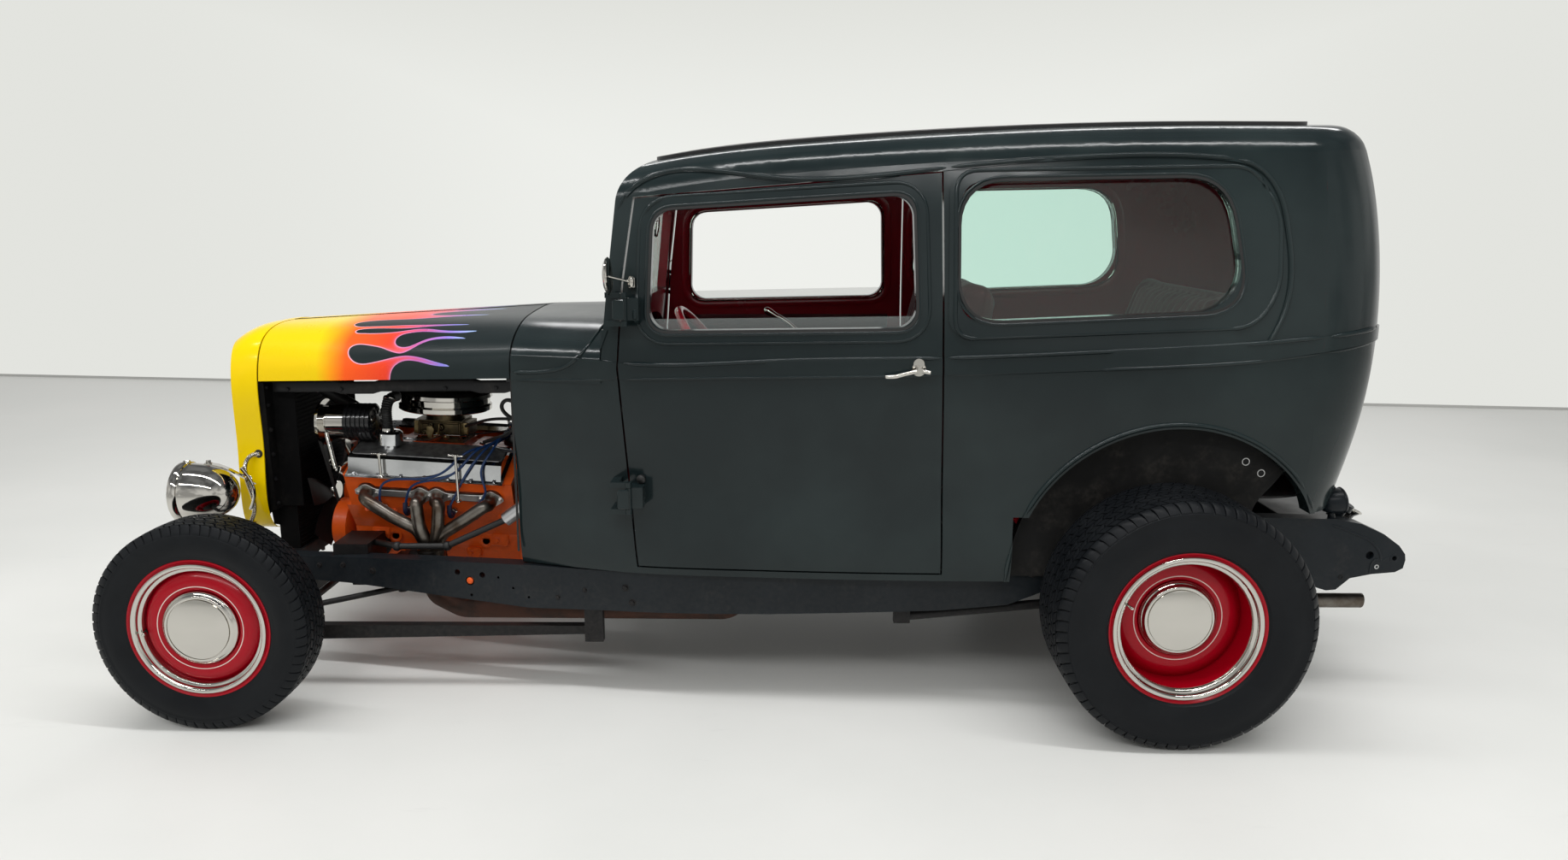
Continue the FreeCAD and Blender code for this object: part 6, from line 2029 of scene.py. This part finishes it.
def make_headlamp(side, word):
    """The lamp's bowl, rim, top boss and lens."""
    r = LAMP_R
    lamp = Piece("chrome", "lens_glass")
    spot = facing(at(-0.200, side * LAMP_Y, LAMP_Z), (1, 0, 0))
    bowl = [(0, 0.002), (r - 0.008, 0.002), (r - 0.002, -0.002), (r + 0.001, 0.012)]
    bowl += [(r + 0.0005, 0.026)] + [(r * share, back) for share, back in LAMP_BOWL]
    lamp.turn(bowl, 72, spot)
    lamp.turn([(r + a, b) for a, b in LAMP_RIM], 72, spot, close=True)
    boss = facing(at(-0.196, side * LAMP_Y, LAMP_Z + r + 0.006), (0, 0, 1))
    lamp.add(brick(0.020, 0.012, 0.008, 0.002), boss)
    add_bolt(lamp, at(-0.1985, side * LAMP_Y, 0.5015), (-0.2, 0, -1), 0.008)
    shares = [k / 8 for k in range(9)]
    lens = [((r - 0.006) * math.sin(s * math.pi / 2), -0.024 + 0.014 * s * s) for s in shares]
    lamp.turn(lens + [(r - 0.006, -0.006), (0, -0.004)], 64, spot, 1)
    replaced = ("headlamps", "headlamp_lenses") if side < 0 else ()
    lamp.make("headlamp_" + word, "chassis", "chrome", replaced)


def make_headlamp_stay(side, word):
    """The lamp's bent foot with its nut, the flat arm behind it and the round brace."""
    stay = Piece("chrome")
    foot = path(
        side, (-0.105, 0.4195, 0.512), (-0.100, 0.400, 0.490), (-0.078, 0.345, 0.476),
        (-0.060, 0.318, 0.468),
    )
    hose(stay, foot, 0.010, 0, 20, 14)
    stay.turn(STAY_FOOT, 24, facing(at(-0.105, side * LAMP_Y, 0.489), (0, 0, 1)))
    stay.turn(STAY_NUT, 6, facing(at(-0.105, side * LAMP_Y, 0.474), (0, 0, 1)))
    arm = path(
        side, (-0.150, 0.404, 0.683), (-0.112, 0.392, 0.672), (-0.076, 0.360, 0.640),
        (-0.050, 0.318, 0.604),
    )
    stay.add(swept(smooth_line(arm, 18), mm((-14, -2), (14, -2), (14, 2), (-14, 2))))
    add_bolt(stay, at(-0.140, side * 0.402, 0.6835), (0, 0, 1), 0.014)
    add_bolt(stay, at(-0.058, side * 0.334, 0.618), (0.2, side, 0.4), 0.014)
    brace = path(
        side, (-0.052, 0.384, 0.664), (-0.034, 0.372, 0.625), (-0.036, 0.350, 0.570),
        (-0.062, 0.330, 0.520),
    )
    hose(stay, brace, 0.0048, 0, 30, 10)
    stay.make("headlamp_stay_" + word, "chassis", "chrome")


def make_lamp_flex(side, word):
    """The ribbed conduit that carries a headlamp's wire, fixed at both ends."""
    flex = Piece("chrome", "hose_rubber")
    line = path(
        side, (-0.046, 0.285, 0.687), (-0.062, 0.302, 0.683), (-0.074, 0.311, 0.662),
        (-0.077, 0.312, 0.625), (-0.070, 0.311, 0.588), (-0.059, 0.313, 0.545),
        (-0.058, 0.322, 0.500), (-0.066, 0.330, 0.476),
    )
    ribbed = lambda t: 1.0 + 0.20 * math.cos(t * 52 * 2 * math.pi)
    flex.add(swept(smooth_line(line, 260), circle(0.0068, 12), size=ribbed))
    collar = facing(at(-0.044, side * 0.283, 0.687), (-0.15, side, 0))
    flex.turn(FLEX_COLLAR, 24, collar, 1, close=True)
    flex.make("lamp_flex_" + word, "chassis", "chrome", ("lamp_conduits",) if side < 0 else ())


TAIL_BOWL = mm((0, 0), (14, 2), (26, 12), (34, 28), (37.5, 50), (37.5, 62), (0, 62))
TAIL_RIM = mm((30, 62.5), (38, 62.5), (39.5, 67), (36, 71), (31, 69))
TAIL_LENS = mm((0, 78), (14, 76.5), (26, 72), (31, 66), (31, 63), (0, 63))
TAIL_Y = 0.478
TAIL_BOSS = mm((0, 0), (9, 0), (9, 14), (0, 15))
# Beads pressed along the frame horn: the line, its point count and the bead's section
HORN_BEADS = (
    (
        mm(
            (3215, 540), (3245.3, 532.7), (3287.5, 514.5), (3329.8, 496.3), (3360.4, 470),
            (3376.1, 440.9), (3378, 424),
        ),
        34, mm((-4.5, -2), (-3, 1.8), (0, 2.8), (3, 1.8), (4.5, -2)),
    ),
    (
        mm((3378, 424), (3400, 439.5), (3425, 442), (3448, 436.5)),
        14, mm((-3, -2), (-2, 0.8), (0, 1.4), (2, 0.8), (3, -2)),
    ),
    (
        mm((3346.5, 372), (3347.5, 405), (3352, 425), (3366, 434.5), (3379, 430)),
        18, mm((-4, -2), (-2.5, 1.8), (0, 2.6), (2.5, 1.8), (4, -2)),
    ),
)
# Rings round the holes in the frame horn: x, z, radius and finish
HORN_HOLES = ((3.418, 0.436, 0.013, 0), (3.367, 0.4105, 0.007, 2), (3.262, 0.380, 0.008, 1))
HORN_STEP = 0.019
FILLER_NECK = mm((0, 2), (34, 2), (30, 7), (32, 16), (42, 27), (0, 27))
FILLER_CAP = mm(
    (0, 27), (44, 27), (47.5, 30), (46.5, 34.5), (40, 37), (36, 36), (18, 38.5), (0, 39.2)
)


def make_tail_end():
    """Tail lamps, the beads and holes on the frame horns, and the fuel filler."""
    for side, word in SIDES:
        lamp = Piece("frame_paint", "red_lens")
        spot = facing(at(3.188, side * TAIL_Y, 0.598), (1, 0, 0.16))
        lamp.turn(TAIL_BOWL, 40, spot)
        lamp.turn(TAIL_RIM, 40, spot, close=True)
        lamp.turn(TAIL_LENS, 40, spot, 1)
        bar(lamp, at(3.225, side * TAIL_Y, 0.575), at(3.232, side * 0.482, 0.540), 0.010)
        lamp.turn(TAIL_BOSS, 12, facing(at(3.222, side * TAIL_Y, 0.636), (0.1, 0, 1)))
        lamp.make("tail_lamp_" + word, "chassis", "chrome", ("tail_lamps",) if side < 0 else ())
        horn = Piece("frame_paint", "shade_black", "steel_line")
        for line, count, section in HORN_BEADS:
            run_bead(horn, "frame_rails", smooth_line(line, count), side, section)
        for x, z, r, kind in HORN_HOLES:
            point, way = wall("frame_rails", x + HORN_STEP, z, side)
            if point is None:
                continue
            point.x -= HORN_STEP
            ring = [(r * 0.55, 0.0004), (r, 0.0004), (r, 0.002), (r * 0.55, 0.0026)]
            horn.turn(ring, 20, facing(point, way), kind, close=True)
        horn.make("tail_pressing_" + word, "chassis", "frame_paint")
    filler = Piece("gloss_black", "chrome")
    spot = facing(at(3.334, -0.330, 0.5205), Vector((0.43, 0, 0.90)).normalized())
    filler.add(slab(corners(0.040, 0.034, 0.012), -0.004, 0.003, 0.0015), spot, 1)
    filler.turn(FILLER_NECK, 32, spot)
    filler.turn(FILLER_CAP, 40, spot, 1)
    filler.make("fuel_filler", "chassis", "chrome")


for side, word in SIDES:
    make_headlamp(side, word)
    make_headlamp_stay(side, word)
    make_lamp_flex(side, word)
make_tail_end()


# Underside fittings: bolts, rod joints, spring leaves, clamps and holes
RAIL_BOLTS = (
    (0.150, 0.345, 0.012), (0.230, 0.350, 0.012), (0.330, 0.338, 0.014), (0.935, 0.300, 0.010),
    (1.020, 0.330, 0.010), (1.145, 0.345, 0.014), (1.165, 0.300, 0.014), (2.340, 0.400, 0.014),
    (2.400, 0.420, 0.014), (2.860, 0.500, 0.014), (3.060, 0.480, 0.012),
)
RAIL_PLUG = mm((0, 0), (10.5, 0), (10.5, 4), (7.5, 7), (0, 7.5))
ROD_BUSH = mm((0, -22), (17, -22), (21, -18), (21, 18), (17, 22), (0, 22))
ROD_CLAMP = mm((26, -4), (32, -3), (32, 3), (26, 4))
ROD_NUT = mm((0, 0), (10, 0), (10, 7), (0, 7.5))
ROD_Y = 0.475
BUSH_X, BUSH_Z = 1.036, 0.190
BALL_X, BALL_Y = 0.140, 0.606
LEAF_SECTION = mm((-21.5, 0), (21.5, 0), (21.5, 5.4), (-21.5, 5.4))


def make_rail_bolts():
    """Bolts along the frame rails, and the orange plug beside the engine."""
    random.seed(8)
    piece = Piece("chassis_black", "engine_orange")
    for side in (-1, 1):
        for x, z, size in RAIL_BOLTS:
            point, way = wall("frame_rails", x, z, side)
            if point is not None and way.y * side > 0.7:
                add_bolt(piece, point, way, size)
        point, way = wall("frame_rails", 0.683, 0.329, side)
        place = Vector((point.x - 0.030, point.y - way.y * 0.012, point.z))
        piece.turn(RAIL_PLUG, 20, facing(place, way), 1)
    piece.make("rail_bolts", "chassis", "frame_paint")


def make_rod_joints():
    """Radius rod bushes and bolts, spring clips, and the tie rod's ends on the knuckles."""
    joints = Piece("chassis_black", "cast_grey")
    for side, word in SIDES:
        joints.turn(ROD_BUSH, 28, facing(at(BUSH_X, side * ROD_Y, BUSH_Z), (0, 1, 0)))
        for end in (-1, 1):
            spot = at(BUSH_X, side * ROD_Y + end * 0.0215, BUSH_Z)
            add_bolt(joints, spot, (0, end, 0), 0.020, 1)
        for x in (0.060, 0.100):
            add_bolt(joints, at(x, side * (ROD_Y + 0.016), 0.198), (0, side, 0), 0.016)
        ball = Piece("hose_rubber", "cast_grey")
        spot = facing(at(BALL_X, side * BALL_Y, 0.250), (0, 0, 1))
        ball.turn(ROD_CLAMP, 24, spot, close=True)
        ball.turn(ROD_NUT, 6, facing(at(BALL_X, side * BALL_Y, 0.288), (0, 0, 1)), 1)
        ball.make("rod_end_" + word, "knuckle_" + word)
        for x in (-0.030, 0.030):
            bar(joints, at(x, side * 0.055, 0.300), at(x, side * 0.055, 0.345), 0.0065, 1)
    joints.make("rod_joints", "chassis", "chassis_black")


def make_spring_leaves():
    """Four shorter leaves laid over the front spring."""
    leaves = Piece("chassis_black")
    for k in range(4):
        half = 0.330 - 0.075 * k
        rings = []
        for i in range(13):
            y = half * (i / 6 - 1)
            z = 0.3183 + 0.006 * k - 0.1135 * abs(y)
            rings.append([at(x, y, z + h) for x, h in LEAF_SECTION])
        leaves.add(lofted(rings))
    leaves.make("spring_leaves", "chassis", "chassis_black")


PIPE_R = 0.0315


def make_exhaust_clamps():
    """Two steel bands on each exhaust pipe."""
    piece = Piece("steel_line")
    band = [(PIPE_R, -0.012), (PIPE_R + 0.0022, -0.011), (PIPE_R + 0.0022, 0.011), (PIPE_R, 0.012)]
    for side in (-1, 1):
        for x in (0.985, 1.120):
            piece.turn(band, 40, facing(at(x, side * 0.300, 0.262), (1, 0, 0)), close=True)
    piece.make("exhaust_clamps", "chassis", "rusty_steel")


HOLE = mm((0, 0.2), (9, 0.2), (9, 1), (0, 1.2))
HOLE_RIM = mm((9, 0.2), (11.5, 0.2), (11, 1.4), (9, 1.4))


def make_arch_holes():
    """Dark holes with bright rims in the rear part of each wheelhouse."""
    piece = Piece("shade_black", "steel_line")
    for side in (-1, 1):
        for a in (18, 26, 34, 42, 50, 58):
            point, way = wall("wheelhouses", *on_arch(0.405, math.radians(a)), side)
            if point is not None and abs(way.y) > 0.6:
                piece.turn(HOLE, 16, facing(point, way))
                piece.turn(HOLE_RIM, 16, facing(point, way), 1, close=True)
    if piece.verts:
        piece.make("arch_holes", "chassis", "wheelhouse_grey")


make_rail_bolts()
make_rod_joints()
make_spring_leaves()
make_exhaust_clamps()
make_arch_holes()


# Studio
def plain_object(name, verts, faces):
    mesh = bpy.data.meshes.new(name)
    mesh.from_pydata([tuple(v) for v in verts], [], faces)
    mesh.validate()
    mesh.update()
    made = bpy.data.objects.new(name, mesh)
    bpy.context.scene.collection.objects.link(made)
    return made


# The studio's back edge of the floor, as its y at the line through the axle and its slope
FLOOR_EDGE = (5.409, -0.10687)
FLOOR_HALF = 40
LAMPS = (
    ("lamp_overhead", (-0.2, -1.3, 4.2), (7.0, 0.16), 120, (0, -0.2, 0)),
    ("lamp_side", (-1.5, -5.8, 5.0), (8.5, 0.15), 135, (0, 0, 0.8)),
    ("lamp_back", (1.0, 3.6, 4.4), (7.0, 0.5), 85, (0, 0, 0.9)),
)


def make_floor():
    """The pale floor, cut off at a slant behind the car, and the grey joint along that edge."""
    ends = [at(x, FLOOR_EDGE[0] + FLOOR_EDGE[1] * x, 0) for x in (-FLOOR_HALF, FLOOR_HALF)]
    near = [(-FLOOR_HALF, -FLOOR_HALF, 0), (FLOOR_HALF, -FLOOR_HALF, 0)]
    floor = plain_object("studio_floor", [*near, ends[1], ends[0]], [(0, 1, 2, 3)])
    t = material("studio_floor_paint", Specular_IOR_Level=0.25)
    place = t.place()
    cloud = t.noise(place, 0.8, 5, 0.55)
    scuff = t.between(t.noise(place, 2.2, 8, 0.7, stretch=(1, 4, 1)), 0.62, 0.78, 0, 0.25)
    tone = t.blend(t.between(cloud, 0.3, 0.7), (0.69, 0.695, 0.675), (0.75, 0.75, 0.73))
    t.set(t.shader.inputs["Base Color"], t.blend(scuff, tone, (0.5, 0.5, 0.5)))
    t.set(t.shader.inputs["Roughness"], t.between(cloud, 0.3, 0.7, 0.3, 0.42))
    floor.data.materials.append(t.material)
    raised = [p + Vector((0, 0, 0.022)) for p in ends]
    joint = plain_object("studio_floor_joint", [*ends, *raised[::-1]], [(0, 1, 2, 3)])
    t = material("studio_joint_paint", Roughness=0.8)
    tone = t.blend(t.noise(t.place(), 0.7), (0.42, 0.42, 0.41), (0.52, 0.52, 0.50))
    t.set(t.shader.inputs["Base Color"], tone)
    joint.data.materials.append(t.material)


def make_air():
    """A pale wall for the camera, a softer room for light, and a dark ceiling for mirrors."""
    world = bpy.data.worlds.new("studio_air")
    bpy.context.scene.world = world
    world.use_nodes = True
    t = Tree(world.node_tree)
    ray = t.add("LightPath").outputs
    direction = t.add("TexCoord").outputs["Generated"]
    along, _, height = t.add("SeparateXYZ", {0: direction}).outputs
    far = t.between(t.math("ABSOLUTE", along), 0.12, 0.55, 0.0, 0.55, smooth=True)
    far = t.math("MAXIMUM", far, t.between(height, 0.02, 0.30, smooth=True))
    backdrop = t.blend(far, (0.86, 0.87, 0.835), (0.69, 0.695, 0.655))
    seen = t.math("MAXIMUM", ray["Is Camera Ray"], ray["Is Transmission Ray"])
    rise = t.between(height, 0.05, 0.75, smooth=True)
    room = t.blend(rise, (0.56, 0.565, 0.55), (0.84, 0.84, 0.82))
    rise = t.between(height, 0.25, 0.62, smooth=True)
    mirrored = t.blend(rise, (0.68, 0.68, 0.66), (0.20, 0.205, 0.21))
    room = t.blend(ray["Is Glossy Ray"], room, mirrored)
    patches = t.between(t.noise(direction, 2.6, 2, 0.5), 0.40, 0.60, 0.62, 1.20, smooth=True)
    patches = t.add("CombineColor", {0: patches, 1: patches, 2: patches}).outputs[0]
    room = t.blend(1.0, room, patches, kind="MULTIPLY")
    t.set(t.nodes["Background"].inputs["Color"], t.blend(seen, room, backdrop))


def make_lamps():
    """Long soft lamps, each aimed at a point on the car."""
    for name, place, size, power, aim in LAMPS:
        data = bpy.data.lights.new(name, "AREA")
        data.shape = "RECTANGLE"
        data.size, data.size_y = size
        data.energy = power
        lamp = bpy.data.objects.new(name, data)
        lamp.location = place
        lamp.rotation_mode = "QUATERNION"
        lamp.rotation_quaternion = (Vector(aim) - Vector(place)).to_track_quat("-Z", "Y")
        bpy.context.scene.collection.objects.link(lamp)


make_floor()
make_air()
make_lamps()
bpy.context.scene.view_settings.view_transform = "Standard"
